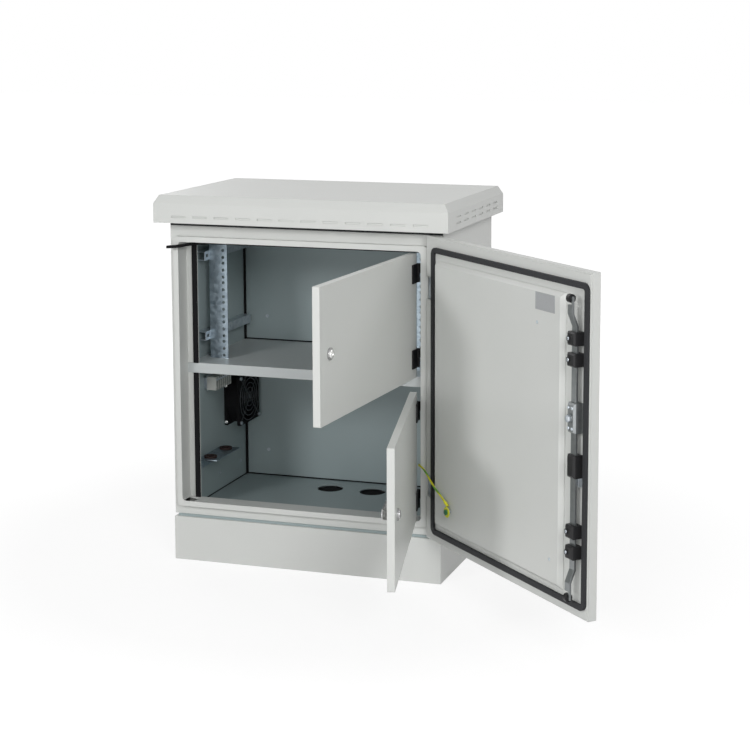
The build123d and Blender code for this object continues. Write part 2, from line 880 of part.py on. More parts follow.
# Terminal rail under the shelf
def terminal_rail():
    x0 = lining_left
    half = terminal_rail_height / 2
    rail = block(x0, x0 + terminal_rail_depth, terminal_front_y, terminal_back_y,
                 terminal_z - half, terminal_z + half)
    core = half - terminal_rail_lip
    rail -= block(x0 - overrun, x0 + terminal_rail_depth - sheet / 2, terminal_front_y - overrun,
                  terminal_back_y + overrun, terminal_z + core, terminal_z + half + overrun)
    rail -= block(x0 - overrun, x0 + terminal_rail_depth - sheet / 2, terminal_front_y - overrun,
                  terminal_back_y + overrun, terminal_z - half - overrun, terminal_z - core)
    return rail


def terminal_blocks():
    x0 = lining_left + terminal_rail_depth
    x1 = x0 + terminal_depth
    count = int((terminal_back_y - terminal_front_y) // terminal_pitch)
    blocks = []
    for index in range(count):
        y0 = terminal_front_y + index * terminal_pitch
        half = terminal_height / 2
        terminal = block(x0, x1, y0, y0 + terminal_width, terminal_z - half, terminal_z + half)
        for z in (terminal_z - half / 2, terminal_z + half / 2):
            slot = terminal_slot / 2
            terminal -= block(x1 - terminal_slot, x1 + overrun, y0 + slot, y0 + terminal_width - slot,
                              z - slot, z + slot)
        blocks.append(terminal)
    return blocks


# Hinges of the outer door
def frame_hinge_halves():
    halves = []
    arm_x = door_axis_x - hinge_arm_offset
    elbow_y = door_axis_y + hinge_arm_offset
    for z in (hinge_upper_z, hinge_lower_z):
        low = z - hinge_arm_height / 2
        route = Polyline((arm_x, face_y), (arm_x, elbow_y), (door_axis_x, door_axis_y))
        arm = Pos(0, 0, low) * extrude(trace(route, hinge_arm), hinge_arm_height)
        arm -= block(arm_x - hinge_foot, arm_x + hinge_foot, face_y, face_y + hinge_foot, low - overrun,
                     low + hinge_arm_height + overrun)
        foot = block(arm_x - hinge_arm / 2, arm_x + hinge_foot, face_y - sheet, face_y,
                     low, low + hinge_arm_height)
        knuckle = along_z(hinge_knuckle_radius, low, low + hinge_arm_height, door_axis_x, door_axis_y)
        reach = hinge_slot_half + hinge_ear
        pin = along_z(hinge_pin_radius, z - reach, z + reach, door_axis_x, door_axis_y)
        halves.append(arm + foot + knuckle + pin)
    return halves


def door_hinge_ears():
    ears = []
    for z in (hinge_upper_z, hinge_lower_z):
        for z0 in (z - hinge_slot_half - hinge_ear, z + hinge_slot_half):
            ear = block(door_axis_x - hinge_foot, door_right - sheet, door_axis_y - hinge_foot,
                        pan_back_y - sheet, z0, z0 + hinge_ear)
            ear -= along_z(hinge_pin_radius + pin_clearance, z0 - overrun, z0 + hinge_ear + overrun,
                           door_axis_x, door_axis_y)
            ears.append(open_door(ear))
    return ears


def hinge_slots():
    """Cutters for the openings that the hinge arms pass through."""
    x0 = door_axis_x - hinge_arm_offset - hinge_arm - hinge_slot_gap
    y0 = door_axis_y - hinge_knuckle_radius - hinge_slot_gap / 2
    slots = []
    for z in (hinge_upper_z, hinge_lower_z):
        slots.append(block(x0, door_right + overrun, y0, liner_y + overrun,
                           z - hinge_slot_half, z + hinge_slot_half))
    return slots


# Outer door
def outer_door_pan():
    pan = slab(door_left, door_right, door_front_y, pan_back_y, door_bottom, door_top, sheet)
    pan -= block(door_left + sheet, door_right - sheet, door_front_y + sheet, pan_back_y - sheet,
                 door_bottom + sheet, door_top - sheet)
    pan -= block(door_left + door_border, door_right - door_border, pan_back_y - sheet - overrun,
                 pan_back_y + overrun, door_bottom + door_border, door_top - door_border)
    for slot in hinge_slots():
        pan -= slot
    pan -= along_y(spindle_hole, door_front_y - overrun, pan_back_y + overrun, lock_x, gearbox_z)
    return open_door(pan)


def door_liner():
    x0 = -half_width + liner_left_margin
    x1 = half_width - liner_right_margin
    z0 = body_bottom + liner_bottom_margin
    z1 = body_top - liner_top_margin
    plate = block(door_left + liner_edge_gap, door_right - liner_edge_gap, pan_back_y, liner_y,
                  door_bottom + liner_edge_gap, door_top - liner_edge_gap)
    field = block(x0, x1, liner_y - sheet, liner_y + liner_rise, z0, z1)
    field = chamfer(field.faces().sort_by(Axis.Y)[-1].edges(), liner_chamfer)
    hollow = block(x0 + liner_chamfer + sheet, x1 - liner_chamfer - sheet, liner_y - sheet - overrun,
                   liner_y + liner_rise - sheet, z0 + liner_chamfer + sheet, z1 - liner_chamfer - sheet)
    liner = plate + field - hollow
    for slot in hinge_slots():
        liner -= slot
    liner -= along_y(spindle_hole, pan_back_y - overrun, liner_y + overrun, lock_x, gearbox_z)
    return open_door(liner)


def door_gasket():
    half = gasket_width / 2
    x0 = (lip_left + mouth_left) / 2 - half - gasket_shift_left
    x1 = (lip_right + mouth_right) / 2 + half - gasket_shift_right
    z0 = (lip_bottom + mouth_bottom) / 2 - half
    z1 = (lip_top + mouth_top) / 2 + half + gasket_shift_top
    return open_door(ring(x0, x1, liner_y, front_y - gasket_clear, z0, z1, gasket_width, gasket_corner))


# Rod lock
def rod_channel(z0, z1):
    """Cutter for the rod's way through a block, with running clearance."""
    half = rod_width / 2 + guide_gap
    deep = rod_thickness / 2 + guide_gap
    return block(lock_x - half, lock_x + half, rod_y - deep, rod_y + deep, z0 - overrun, z1 + overrun)


def lock_block(z, height, width, depth, edge):
    """A moulded housing on the liner with the rod's way cut through it."""
    low = z - height / 2
    body = block(lock_x - width / 2, lock_x + width / 2, liner_y, liner_y + depth, low, low + height)
    body = chamfer(body.faces().sort_by(Axis.Y)[-1].edges(), edge)
    return body - rod_channel(low, low + height)


def lock_gearbox():
    box = lock_block(gearbox_z, gearbox_height, gearbox_width, gearbox_depth, gearbox_chamfer)
    back = liner_y + gearbox_depth
    box += along_y(gearbox_boss_radius, back, back + gearbox_boss, lock_x, gearbox_z)
    box -= along_y(spindle_hole, liner_y - overrun, rod_y - rod_thickness / 2, lock_x, gearbox_z)
    return open_door(box)


def rod_guides():
    heights = (guide_upper_outer_z, guide_upper_inner_z, guide_lower_inner_z, guide_lower_outer_z)
    return [open_door(lock_block(z, guide_height, guide_width, guide_depth, guide_chamfer)) for z in heights]


def lock_cover():
    return open_door(lock_block(cover_z, cover_height, cover_width, cover_depth, cover_chamfer))


def cover_bracket():
    top = cover_z - cover_height / 2
    low = top - cover_bracket_height
    half = cover_width / 2
    bracket = block(lock_x - half, lock_x + half, liner_y, liner_y + cover_bracket_depth, low, top)
    bracket -= rod_channel(low, top)
    bracket -= block(lock_x - half + sheet, lock_x + half - sheet, liner_y + sheet, liner_y + cover_depth,
                     low - overrun, top - sheet)
    return open_door(bracket)


def roller_height(upward):
    """Height of a roller's axis with the rods drawn in."""
    inset = roller_radius + roller_lip_gap
    return mouth_top - inset if upward else mouth_bottom + inset


def lock_rod(upward):
    """Flat rod, joggled towards the cabinet, with a narrow end and the roller's pin."""
    sign = 1 if upward else -1
    start = gearbox_z + rod_start_gap * sign
    end = roller_height(upward)
    stop = end - (roller_radius + rod_thickness) * sign
    knee = stop - rod_end_run * sign
    bend = knee - rod_joggle_run * sign
    tip_y = rod_y + rod_joggle
    route = Polyline((rod_y, start), (rod_y, bend), (tip_y, knee), (tip_y, stop))
    rod = Pos(lock_x, 0, 0) * extrude(Plane.YZ * trace(route, rod_thickness), rod_width / 2, both=True)
    cheek_x = lock_x - rod_width / 2
    cheek_end = end + roller_pin_head * sign
    half = rod_thickness / 2
    rod += block(cheek_x, cheek_x + rod_thickness, tip_y - half, tip_y + half,
                 min(stop - half * sign, cheek_end), max(stop - half * sign, cheek_end))
    pin_end = cheek_x + rod_thickness + roller_gap * 2 + roller_width
    rod += along_x(roller_pin_radius, cheek_x, pin_end, tip_y, end)
    rod += along_x(roller_pin_head, pin_end, pin_end + roller_pin_head_height, tip_y, end)
    return open_door(rod)


def lock_roller(upward):
    x0 = lock_x - rod_width / 2 + rod_thickness + roller_gap
    x1 = x0 + roller_width
    tip_y = rod_y + rod_joggle
    z = roller_height(upward)
    roller = along_x(roller_radius, x0, x1, tip_y, z)
    roller -= along_x(roller_pin_radius + pin_clearance, x0 - overrun, x1 + overrun, tip_y, z)
    return open_door(roller)


def escutcheon():
    z0 = gearbox_z - escutcheon_height + handle_hub_radius * 2
    plate = slab(lock_x - escutcheon_width / 2, lock_x + escutcheon_width / 2,
                 door_front_y - escutcheon_thickness, door_front_y, z0, z0 + escutcheon_height,
                 escutcheon_corner)
    plate -= along_y(spindle_hole, door_front_y - escutcheon_thickness - overrun, door_front_y + overrun,
                     lock_x, gearbox_z)
    return open_door(plate)


def door_handle():
    """Swing lever outside, with its square spindle through the door."""
    y1 = door_front_y - escutcheon_thickness - seat_gap
    y0 = y1 - handle_hub
    hub = along_y(handle_hub_radius, y0, y1, lock_x, gearbox_z)
    half = handle_width / 2
    lever = block(lock_x, lock_x + handle_length, y0, y0 + handle_thickness,
                  gearbox_z - half, gearbox_z + half)
    lever = fillet(lever.edges().filter_by(Axis.X), handle_round)
    spindle = block(lock_x - spindle_half, lock_x + spindle_half, y1, rod_y - rod_thickness,
                    gearbox_z - spindle_half, gearbox_z + spindle_half)
    return open_door(hub + lever + spindle)


# Inner doors
def inner_door(z0, z1):
    pan = slab(inner_left, inner_right, inner_front_y, inner_back_y, z0, z1, sheet)
    pan -= block(inner_left + sheet, inner_right - sheet, inner_front_y + sheet, inner_back_y - sheet,
                 z0 + sheet, z1 - sheet)
    pan -= block(inner_left + inner_door_flange, inner_right - inner_door_flange,
                 inner_back_y - sheet - overrun, inner_back_y + overrun, z0 + inner_door_flange,
                 z1 - inner_door_flange)
    pan -= along_y(lock_radius + pin_clearance, inner_front_y - overrun, inner_back_y + overrun,
                   inner_left + lock_from_edge, (z0 + z1) / 2)
    return pan


def hinge_heights(z0, z1):
    return [z0 + inner_hinge_end_margin, z1 - inner_hinge_end_margin]


def inner_frame_halves(z0, z1):
    """Leaves on the frame's return, each with the upper knuckle and the pin."""
    halves = []
    half = inner_hinge_height / 2
    for z in hinge_heights(z0, z1):
        leaf = block(mouth_right - inner_leaf, mouth_right, inner_axis_y - inner_leaf_front,
                     inner_axis_y + inner_leaf_back, z - half, z + half)
        arm = block(inner_axis_x, mouth_right - inner_leaf, inner_axis_y - inner_leaf / 2,
                    inner_axis_y + inner_leaf / 2, z + seat_gap, z + half)
        knuckle = along_z(inner_hinge_radius, z + seat_gap, z + half, inner_axis_x, inner_axis_y)
        pin = along_z(inner_pin_radius, z - half, z + half, inner_axis_x, inner_axis_y)
        halves.append(leaf + arm + knuckle + pin)
    return halves


def inner_door_halves(z0, z1):
    """Leaves on the door's face, each with the lower knuckle."""
    halves = []
    half = inner_hinge_height / 2
    for z in hinge_heights(z0, z1):
        leaf = block(inner_right - inner_leaf_width, inner_right, inner_front_y - inner_leaf, inner_front_y,
                     z - half, z + half)
        neck = block(inner_right, inner_axis_x, inner_front_y - inner_leaf, inner_front_y, z - half, z)
        knuckle = along_z(inner_hinge_radius, z - half, z, inner_axis_x, inner_axis_y)
        knuckle -= along_z(inner_pin_radius + pin_clearance, z - half - overrun, z + overrun,
                           inner_axis_x, inner_axis_y)
        neck -= along_z(inner_hinge_radius - overrun, z - half - overrun, z + overrun,
                        inner_axis_x, inner_axis_y)
        halves.append(leaf + neck + knuckle)
    return halves


def inner_lock(z0, z1):
    """Half-turn lock: head, barrel and cam turn as one."""
    x = inner_left + lock_from_edge
    z = (z0 + z1) / 2
    head_y = inner_front_y - lock_head
    cam_y = flange_y + sheet + cam_behind_flange
    lock = along_y(lock_head_radius, head_y, inner_front_y, x, z)
    lock += along_y(lock_radius, inner_front_y, cam_y + cam_thickness, x, z)
    half = cam_width / 2
    lock += block(x, x + cam_length, cam_y, cam_y + cam_thickness, z - half, z + half)
    lock -= block(x - key_slot_width / 2, x + key_slot_width / 2, head_y - overrun, head_y + key_slot_depth,
                  z - key_slot_length / 2, z + key_slot_length / 2)
    return lock


# Earth connection
def frame_earth_stud():
    stud = along_x(stud_radius, mouth_right - stud_length, mouth_right, frame_stud_y, frame_stud_z)
    return stud + along_x(lug_radius, mouth_right - stud_length, mouth_right - stud_length + lug_thickness,
                          frame_stud_y, frame_stud_z)


def door_earth_stud():
    y = liner_y + liner_rise
    stud = along_y(stud_radius, y, y + stud_length, door_stud_x, door_stud_z)
    lug = along_y(lug_radius, y + stud_length - lug_thickness, y + stud_length, door_stud_x, door_stud_z)
    return open_door(stud + lug)


def earth_wire():
    points = wire_route()
    radii = arc_radii(points)
    print("earth wire arcs", [round(radius, 1) for radius in radii])
    return tube(points, radii, wire_radius)


os.makedirs("parts", exist_ok=True)
save("plinth", plinth())
save("base_collar", base_collar())
save("base_bolts", base_bolts())
save("bottom_pan", bottom_pan())
save("floor_plate", floor_plate())
save("left_side_panel", side_panel(-1))
save("right_side_panel", side_panel(1))
save("rear_panel", rear_panel())
save("top_deck", top_deck())
save("front_frame", front_frame())
save("lining_left_panel", lining_side(-1))
save("lining_right_panel", lining_side(1))
save("lining_back_panel", lining_back_panel())
save("ceiling_panel", ceiling_panel())
save("divider_shelf", divider_shelf())
save("panel_rivets", panel_rivets())
save("roof_hood", roof_hood())
save("roof_spacers", roof_spacers())
save("rack_rail_left", rack_rail(-1))
save("rack_rail_right", rack_rail(1))
save("left_rail_brackets", rail_brackets(-1))
save("right_rail_brackets", rail_brackets(1))
save("rail_screws", rail_screws())
save("inner_door_seal", inner_door_seal())
save("top_seal_strip", top_seal_strip())
save("fan_frame", fan_frame())
save("fan_rotor", fan_rotor())
save("fan_guard", fan_guard())
save("fan_screws", fan_screws())
save("cable_bracket", cable_bracket())
save("cable_grommets", cable_grommets())
save("terminal_rail", terminal_rail())
save("terminal_blocks", terminal_blocks())
save("frame_hinge_halves", frame_hinge_halves())
save("door_hinge_ears", door_hinge_ears())
save("outer_door_pan", outer_door_pan())
save("door_liner", door_liner())
save("door_gasket", door_gasket())
save("lock_gearbox", lock_gearbox())
save("rod_guides", rod_guides())
save("lock_cover", lock_cover())
save("cover_bracket", cover_bracket())
save("upper_lock_rod", lock_rod(True))
save("lower_lock_rod", lock_rod(False))
save("upper_roller", lock_roller(True))
save("lower_roller", lock_roller(False))
save("escutcheon", escutcheon())
save("door_handle", door_handle())
save("upper_inner_door", open_upper(inner_door(upper_bottom, upper_top)))
save("lower_inner_door", open_lower(inner_door(lower_bottom, lower_top)))
save("upper_hinge_frame_halves", inner_frame_halves(upper_bottom, upper_top))
save("lower_hinge_frame_halves", inner_frame_halves(lower_bottom, lower_top))
save("upper_hinge_door_halves", [open_upper(half) for half in inner_door_halves(upper_bottom, upper_top)])
save("lower_hinge_door_halves", [open_lower(half) for half in inner_door_halves(lower_bottom, lower_top)])
save("upper_inner_lock", open_upper(inner_lock(upper_bottom, upper_top)))
save("lower_inner_lock", open_lower(inner_lock(lower_bottom, lower_top)))
save("frame_earth_stud", frame_earth_stud())
save("door_earth_stud", door_earth_stud())
save("earth_wire", earth_wire())
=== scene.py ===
# %% [markdown]
# # A roadside cabinet with its doors open
# The cabinet is folded sheet steel under a satin powder coat. Its solids arrive as a fixed frame that is
# neither moved nor resized here. This lesson adds what the solids lack: the finishes, the small fastenings,
# the soft seals, the earth wire, the camera and the light.

# %% Load the frame
import json
import math
import bpy
from mathutils import Matrix, Vector


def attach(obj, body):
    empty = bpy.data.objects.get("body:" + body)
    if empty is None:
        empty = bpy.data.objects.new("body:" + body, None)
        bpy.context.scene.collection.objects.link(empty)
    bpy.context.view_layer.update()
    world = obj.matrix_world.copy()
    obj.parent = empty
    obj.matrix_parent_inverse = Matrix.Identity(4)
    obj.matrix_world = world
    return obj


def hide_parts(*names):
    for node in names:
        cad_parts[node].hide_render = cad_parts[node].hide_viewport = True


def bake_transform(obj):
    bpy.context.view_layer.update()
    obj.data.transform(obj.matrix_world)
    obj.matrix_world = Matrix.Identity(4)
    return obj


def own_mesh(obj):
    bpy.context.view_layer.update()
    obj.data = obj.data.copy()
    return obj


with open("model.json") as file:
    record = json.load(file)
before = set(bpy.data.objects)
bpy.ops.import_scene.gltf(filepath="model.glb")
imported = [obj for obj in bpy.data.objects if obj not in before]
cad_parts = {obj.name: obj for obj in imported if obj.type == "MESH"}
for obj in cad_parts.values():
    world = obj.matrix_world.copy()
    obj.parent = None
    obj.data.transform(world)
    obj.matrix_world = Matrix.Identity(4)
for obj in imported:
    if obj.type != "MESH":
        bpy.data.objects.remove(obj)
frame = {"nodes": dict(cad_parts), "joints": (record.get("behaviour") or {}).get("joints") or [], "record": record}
nodes = frame["nodes"]
joints = {joint["name"]: joint for joint in frame["joints"]}
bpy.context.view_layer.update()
MM = 0.001
print("nodes in the frame:", len(nodes))

# %% [markdown]
# ## Working on an open door
# Each door is stored open, at an angle that is awkward to model at. Things could be placed in the open
# door's own axes, but it is easier to place them as if the door were shut and then to turn them about the
# hinge. So one matrix holds that turn for each door. The angle is the joint's own range.


# %% Doors as turned planes
def opening_turn(joint_name):
    """The turn that takes a shut door to its stored, open place."""
    joint = joints[joint_name]
    pivot = Matrix.Translation(Vector(joint["pos_m"]))
    angle = -math.radians(joint["range_deg"][0])
    return pivot @ Matrix.Rotation(angle, 4, "Z") @ pivot.inverted()


OUTER_DOOR = opening_turn("outer_door_hinge")
UPPER_DOOR = opening_turn("upper_inner_door_hinge")
LOWER_DOOR = opening_turn("lower_inner_door_hinge")
AT_REST = Matrix.Identity(4)
print("outer door stands open by", -joints["outer_door_hinge"]["range_deg"][0], "degrees")

# %% [markdown]
# ## Reading a shut door's sizes
# Fittings could be placed by typed numbers, but they would then float when a solid changes. Turning a
# solid's points back by its door's matrix gives its box on the shut door, and the fittings take their
# places from that.


# %% Boxes of shut pieces
def shut_box(node, turn):
    """Lowest and highest corner of a node, measured on the shut door."""
    back = turn.inverted()
    points = [back @ vertex.co for vertex in nodes[node].data.vertices]
    low = Vector([min(point[axis] for point in points) for axis in range(3)])
    high = Vector([max(point[axis] for point in points) for axis in range(3)])
    return low, high


LINER_LOW, LINER_HIGH = shut_box("door_liner", OUTER_DOOR)
GUIDES_LOW, GUIDES_HIGH = shut_box("rod_guides", OUTER_DOOR)
LOCK_X = (GUIDES_LOW.x + GUIDES_HIGH.x) / 2
print("liner is", round(LINER_HIGH.x - LINER_LOW.x, 3), "m wide")

# %% [markdown]
# ## Node helpers
# Every finish is a small graph of nodes. A picture could be wrapped on each piece instead, but these
# surfaces are even and only need grain, so noise is enough and needs no map. It reads Object coordinates,
# so a pattern has its real size in metres and stays where it is when the piece moves.


# %% Start a finish
NOISE_LOW = 0.3
NOISE_HIGH = 0.7


def new_finish(name, colour, roughness, metallic=0.0):
    """A material with its Principled shader, and a texture coordinate to feed patterns."""
    material = bpy.data.materials.new(name)
    material.use_nodes = True
    tree = material.node_tree
    shader = tree.nodes["Principled BSDF"]
    shader.inputs["Base Color"].default_value = (*colour, 1)
    shader.inputs["Roughness"].default_value = roughness
    shader.inputs["Metallic"].default_value = metallic
    place = tree.nodes.new("ShaderNodeTexCoord").outputs["Object"]
    return material, tree, shader, place


def noise(tree, place, scale, detail=2.0):
    """A noise pattern whose scale is in features per metre."""
    node = tree.nodes.new("ShaderNodeTexNoise")
    node.inputs["Scale"].default_value = scale
    node.inputs["Detail"].default_value = detail
    tree.links.new(place, node.inputs["Vector"])
    return node.outputs["Fac"]


def between(tree, factor, low, high):
    """Spread the middle of a noise pattern over a range of values."""
    node = tree.nodes.new("ShaderNodeMapRange")
    node.inputs["From Min"].default_value = NOISE_LOW
    node.inputs["From Max"].default_value = NOISE_HIGH
    node.inputs["To Min"].default_value = low
    node.inputs["To Max"].default_value = high
    tree.links.new(factor, node.inputs["Value"])
    return node.outputs["Result"]


def two_colours(tree, factor, first, second):
    """Mix two colours by a pattern."""
    node = tree.nodes.new("ShaderNodeMix")
    node.data_type = "RGBA"
    node.inputs["A"].default_value = (*first, 1)
    node.inputs["B"].default_value = (*second, 1)
    tree.links.new(factor, node.inputs["Factor"])
    return node.outputs["Result"]


# %% Bump and bands
EDGE_SAMPLES = 4


def add_bump(tree, shader, height, strength, distance, edge_radius=0.0):
    """Bump from a pattern; a small edge radius softens the folds' corners."""
    node = tree.nodes.new("ShaderNodeBump")
    node.inputs["Strength"].default_value = strength
    node.inputs["Distance"].default_value = distance
    tree.links.new(height, node.inputs["Height"])
    if edge_radius:
        edge = tree.nodes.new("ShaderNodeBevel")
        edge.samples = EDGE_SAMPLES
        edge.inputs["Radius"].default_value = edge_radius
        tree.links.new(edge.outputs["Normal"], node.inputs["Normal"])
    tree.links.new(node.outputs["Normal"], shader.inputs["Normal"])


def bands(tree, turns, share):
    """0 for the first share of every whole turn and 1 for the rest."""
    part = tree.nodes.new("ShaderNodeMath")
    part.operation = "FRACT"
    tree.links.new(turns, part.inputs[0])
    step = tree.nodes.new("ShaderNodeMath")
    step.operation = "GREATER_THAN"
    step.inputs[1].default_value = share
    tree.links.new(part.outputs["Value"], step.inputs[0])
    return step.outputs["Value"]


# %% [markdown]
# ## Powder coat
# The coat is a light warm grey with the faint orange peel that baked powder has. The peel could be modelled
# as geometry, but it is far finer than a sheet's faces, so it is bump. A very slow noise shifts the grey by
# a hair, and a faster one gives the peel. A little edge rounding stands for the bend of a fold. The lining
# and the shelf have darker greys, and their darkness is painted shade for the shade inside the bays. Only
# the lining's faint blue-green cast is its own.


# %% Powder coat on outside and lining
PEEL_SCALE = 420.0
DRIFT_SCALE = 5.0
FOLD_RADIUS = 1.1 * MM
COAT_SMOOTHEST = 0.36
COAT_ROUGHEST = 0.46
PEEL_STRENGTH = 0.08
PEEL_DEPTH = 0.3 * MM


def powder_coat(name, light, dark):
    """Baked powder between two greys, with orange peel."""
    material, tree, shader, place = new_finish(name, light, COAT_SMOOTHEST)
    drift = noise(tree, place, DRIFT_SCALE)
    tree.links.new(two_colours(tree, drift, light, dark), shader.inputs["Base Color"])
    peel = noise(tree, place, PEEL_SCALE)
    tree.links.new(between(tree, peel, COAT_SMOOTHEST, COAT_ROUGHEST), shader.inputs["Roughness"])
    add_bump(tree, shader, peel, PEEL_STRENGTH, PEEL_DEPTH, FOLD_RADIUS)
    return material


OUTSIDE_GREY = powder_coat("outside_grey_coat", (0.66, 0.67, 0.65), (0.63, 0.645, 0.625))
# The lining's coat is much darker than the outside. That is painted shade for the shade deep in the bays; its
# faint blue-green cast is its own.
LINING_GREY_PAINTED_SHADE = powder_coat("lining_coat_painted_shade", (0.335, 0.40, 0.408), (0.307, 0.372, 0.382))
# The shelf's middle grey is painted shade. It darkens the shelf's deck, which stands in shade inside the bay.
SHELF_GREY_PAINTED_SHADE = powder_coat("shelf_coat_painted_shade", (0.50, 0.53, 0.53), (0.47, 0.50, 0.50))
print("powder coats ready:", OUTSIDE_GREY.name, LINING_GREY_PAINTED_SHADE.name, SHELF_GREY_PAINTED_SHADE.name)

# %% [markdown]
# ## Zinc, black plastic, rubber and the small finishes
# Zinc plating shows crystals of slightly different grey. Noise would give soft clouds, so a Voronoi pattern
# is used, whose cells have edges as crystals do. Drawn rods and polished locks are the same metal with
# nearly equal cells. Plastic and rubber are nearly black, so their character comes from a fine grain in
# bump and roughness, and from how much they shine.


# %% Zinc plating
SPANGLE_SCALE = 150.0
PLATING_METAL = 0.85
DRAW_SCALE = 700.0
DRAW_STRENGTH = 0.06
DRAW_DEPTH = 0.2 * MM
PLATED_EDGE = 0.5 * MM


def zinc_plating(name, light, dark, roughness, spread=0.07):
    """Plating whose crystals lie between two greys and differ in roughness by a spread."""
    material, tree, shader, place = new_finish(name, light, roughness, PLATING_METAL)
    spangle = tree.nodes.new("ShaderNodeTexVoronoi")
    spangle.inputs["Scale"].default_value = SPANGLE_SCALE
    tree.links.new(place, spangle.inputs["Vector"])
    grey = tree.nodes.new("ShaderNodeSeparateColor")
    tree.links.new(spangle.outputs["Color"], grey.inputs["Color"])
    tree.links.new(two_colours(tree, grey.outputs["Red"], light, dark), shader.inputs["Base Color"])
    rough = between(tree, grey.outputs["Green"], roughness - spread, roughness + spread)
    tree.links.new(rough, shader.inputs["Roughness"])
    add_bump(tree, shader, noise(tree, place, DRAW_SCALE), DRAW_STRENGTH, DRAW_DEPTH, PLATED_EDGE)
    return material


ZINC = zinc_plating("zinc_plating", (0.62, 0.66, 0.70), (0.48, 0.53, 0.58), 0.38)
RAIL_ZINC = zinc_plating("rail_zinc", (0.36, 0.43, 0.48), (0.26, 0.32, 0.37), 0.36)
ROD_ZINC = zinc_plating("rod_zinc", (0.26, 0.275, 0.28), (0.235, 0.25, 0.255), 0.32, spread=0.02)
GUARD_WIRE = zinc_plating("guard_wire", (0.15, 0.16, 0.17), (0.11, 0.12, 0.13), 0.35)
NICKEL = zinc_plating("lock_nickel", (0.46, 0.46, 0.46), (0.40, 0.40, 0.41), 0.25)
BRIGHT_NICKEL = zinc_plating("plug_nickel", (0.86, 0.86, 0.85), (0.82, 0.82, 0.81), 0.2, spread=0.02)
print("plated finishes ready")


# %% Moulded plastic and rubber
GRAIN_DETAIL = 3.0
GRAIN_SPREAD = 0.07
GRAIN_STRENGTH = 0.25


def moulding(name, light, dark, roughness, grain_scale, depth, edge, gloss=0.5):
    """A grained, moulded surface between two colours, with rounded edges."""
    material, tree, shader, place = new_finish(name, light, roughness)
    shader.inputs["Specular IOR Level"].default_value = gloss
    grain = noise(tree, place, grain_scale, GRAIN_DETAIL)
    tree.links.new(two_colours(tree, grain, light, dark), shader.inputs["Base Color"])
    rough = between(tree, grain, roughness - GRAIN_SPREAD, roughness + GRAIN_SPREAD)
    tree.links.new(rough, shader.inputs["Roughness"])
    add_bump(tree, shader, grain, GRAIN_STRENGTH, depth, edge)
    return material


BLACK_PLASTIC = moulding("black_moulding", (0.014, 0.014, 0.015), (0.009, 0.009, 0.010), 0.42, 900.0,
                         0.2 * MM, MM, gloss=0.3)
RUBBER = moulding("gasket_foam", (0.026, 0.027, 0.030), (0.018, 0.019, 0.021), 0.68, 650.0,
                  0.4 * MM, 2.2 * MM, gloss=0.35)
MATT_BLACK = moulding("matt_black", (0.010, 0.010, 0.011), (0.007, 0.007, 0.008), 0.85, 650.0,
                      0.4 * MM, MM, gloss=0.12)
BROWN_RUBBER = moulding("grommet_rubber", (0.036, 0.019, 0.017), (0.025, 0.013, 0.012), 0.6, 500.0,
                        0.3 * MM, 1.5 * MM, gloss=0.3)
PLATE_METAL = moulding("plate_foil", (0.40, 0.41, 0.42), (0.36, 0.37, 0.38), 0.4, 300.0,
                       0.1 * MM, 0.4 * MM)
EARTH_YELLOW = moulding("lug_yellow", (0.74, 0.72, 0.03), (0.68, 0.68, 0.03), 0.4, 400.0,
                        0.1 * MM, 0.6 * MM)
EARTH_GREEN = moulding("nut_green", (0.03, 0.16, 0.06), (0.02, 0.12, 0.05), 0.4, 400.0,
                       0.1 * MM, 0.6 * MM)
print("moulded and rubber finishes ready")

# %% [markdown]
# ## Terminals, one beside the other
# The terminals are slices of pale plastic, pushed together on a rail, with a dark gap between them. The
# solid is one block. Cutting it would change the solid, so the gaps are bands of colour that repeat along
# its length.


# %% Banded terminals
TERMINAL_ROUGHNESS = 0.45
TERMINAL_GRAIN = 700.0
TERMINAL_STRENGTH = 0.2
TERMINAL_DEPTH = 0.2 * MM


def banded_moulding(name, pale, gap, pitch, share, start):
    """Pale moulding with a dark gap after every terminal along Y, counted from a start."""
    material, tree, shader, place = new_finish(name, pale, TERMINAL_ROUGHNESS)
    split = tree.nodes.new("ShaderNodeSeparateXYZ")
    tree.links.new(place, split.inputs["Vector"])
    count = tree.nodes.new("ShaderNodeMath")
    count.operation = "MULTIPLY_ADD"
    count.inputs[1].default_value = 1 / pitch
    count.inputs[2].default_value = -start / pitch
    tree.links.new(split.outputs["Y"], count.inputs[0])
    colour = two_colours(tree, bands(tree, count.outputs["Value"], share), pale, gap)
    tree.links.new(colour, shader.inputs["Base Color"])
    add_bump(tree, shader, noise(tree, place, TERMINAL_GRAIN), TERMINAL_STRENGTH, TERMINAL_DEPTH)
    return material


TERMINAL_LOW, TERMINAL_HIGH = shut_box("terminal_blocks", AT_REST)
TERMINAL_PITCH = 11 * MM
TERMINAL_SHARE = 0.72
END_FACE_ROOM = 0.2 * MM
PALE_PLASTIC = banded_moulding("terminal_moulding", (0.55, 0.56, 0.53), (0.06, 0.06, 0.06),
                               TERMINAL_PITCH, TERMINAL_SHARE, TERMINAL_LOW.y - END_FACE_ROOM)
print("terminal finish ready")

# %% [markdown]
# ## Dressing the solids
# Each solid could be given its finish by hand, but the record already says which slot it belongs to, so a
# table from slot to finish dresses most of them. A few pieces look unlike the rest of their slot and are
# named.

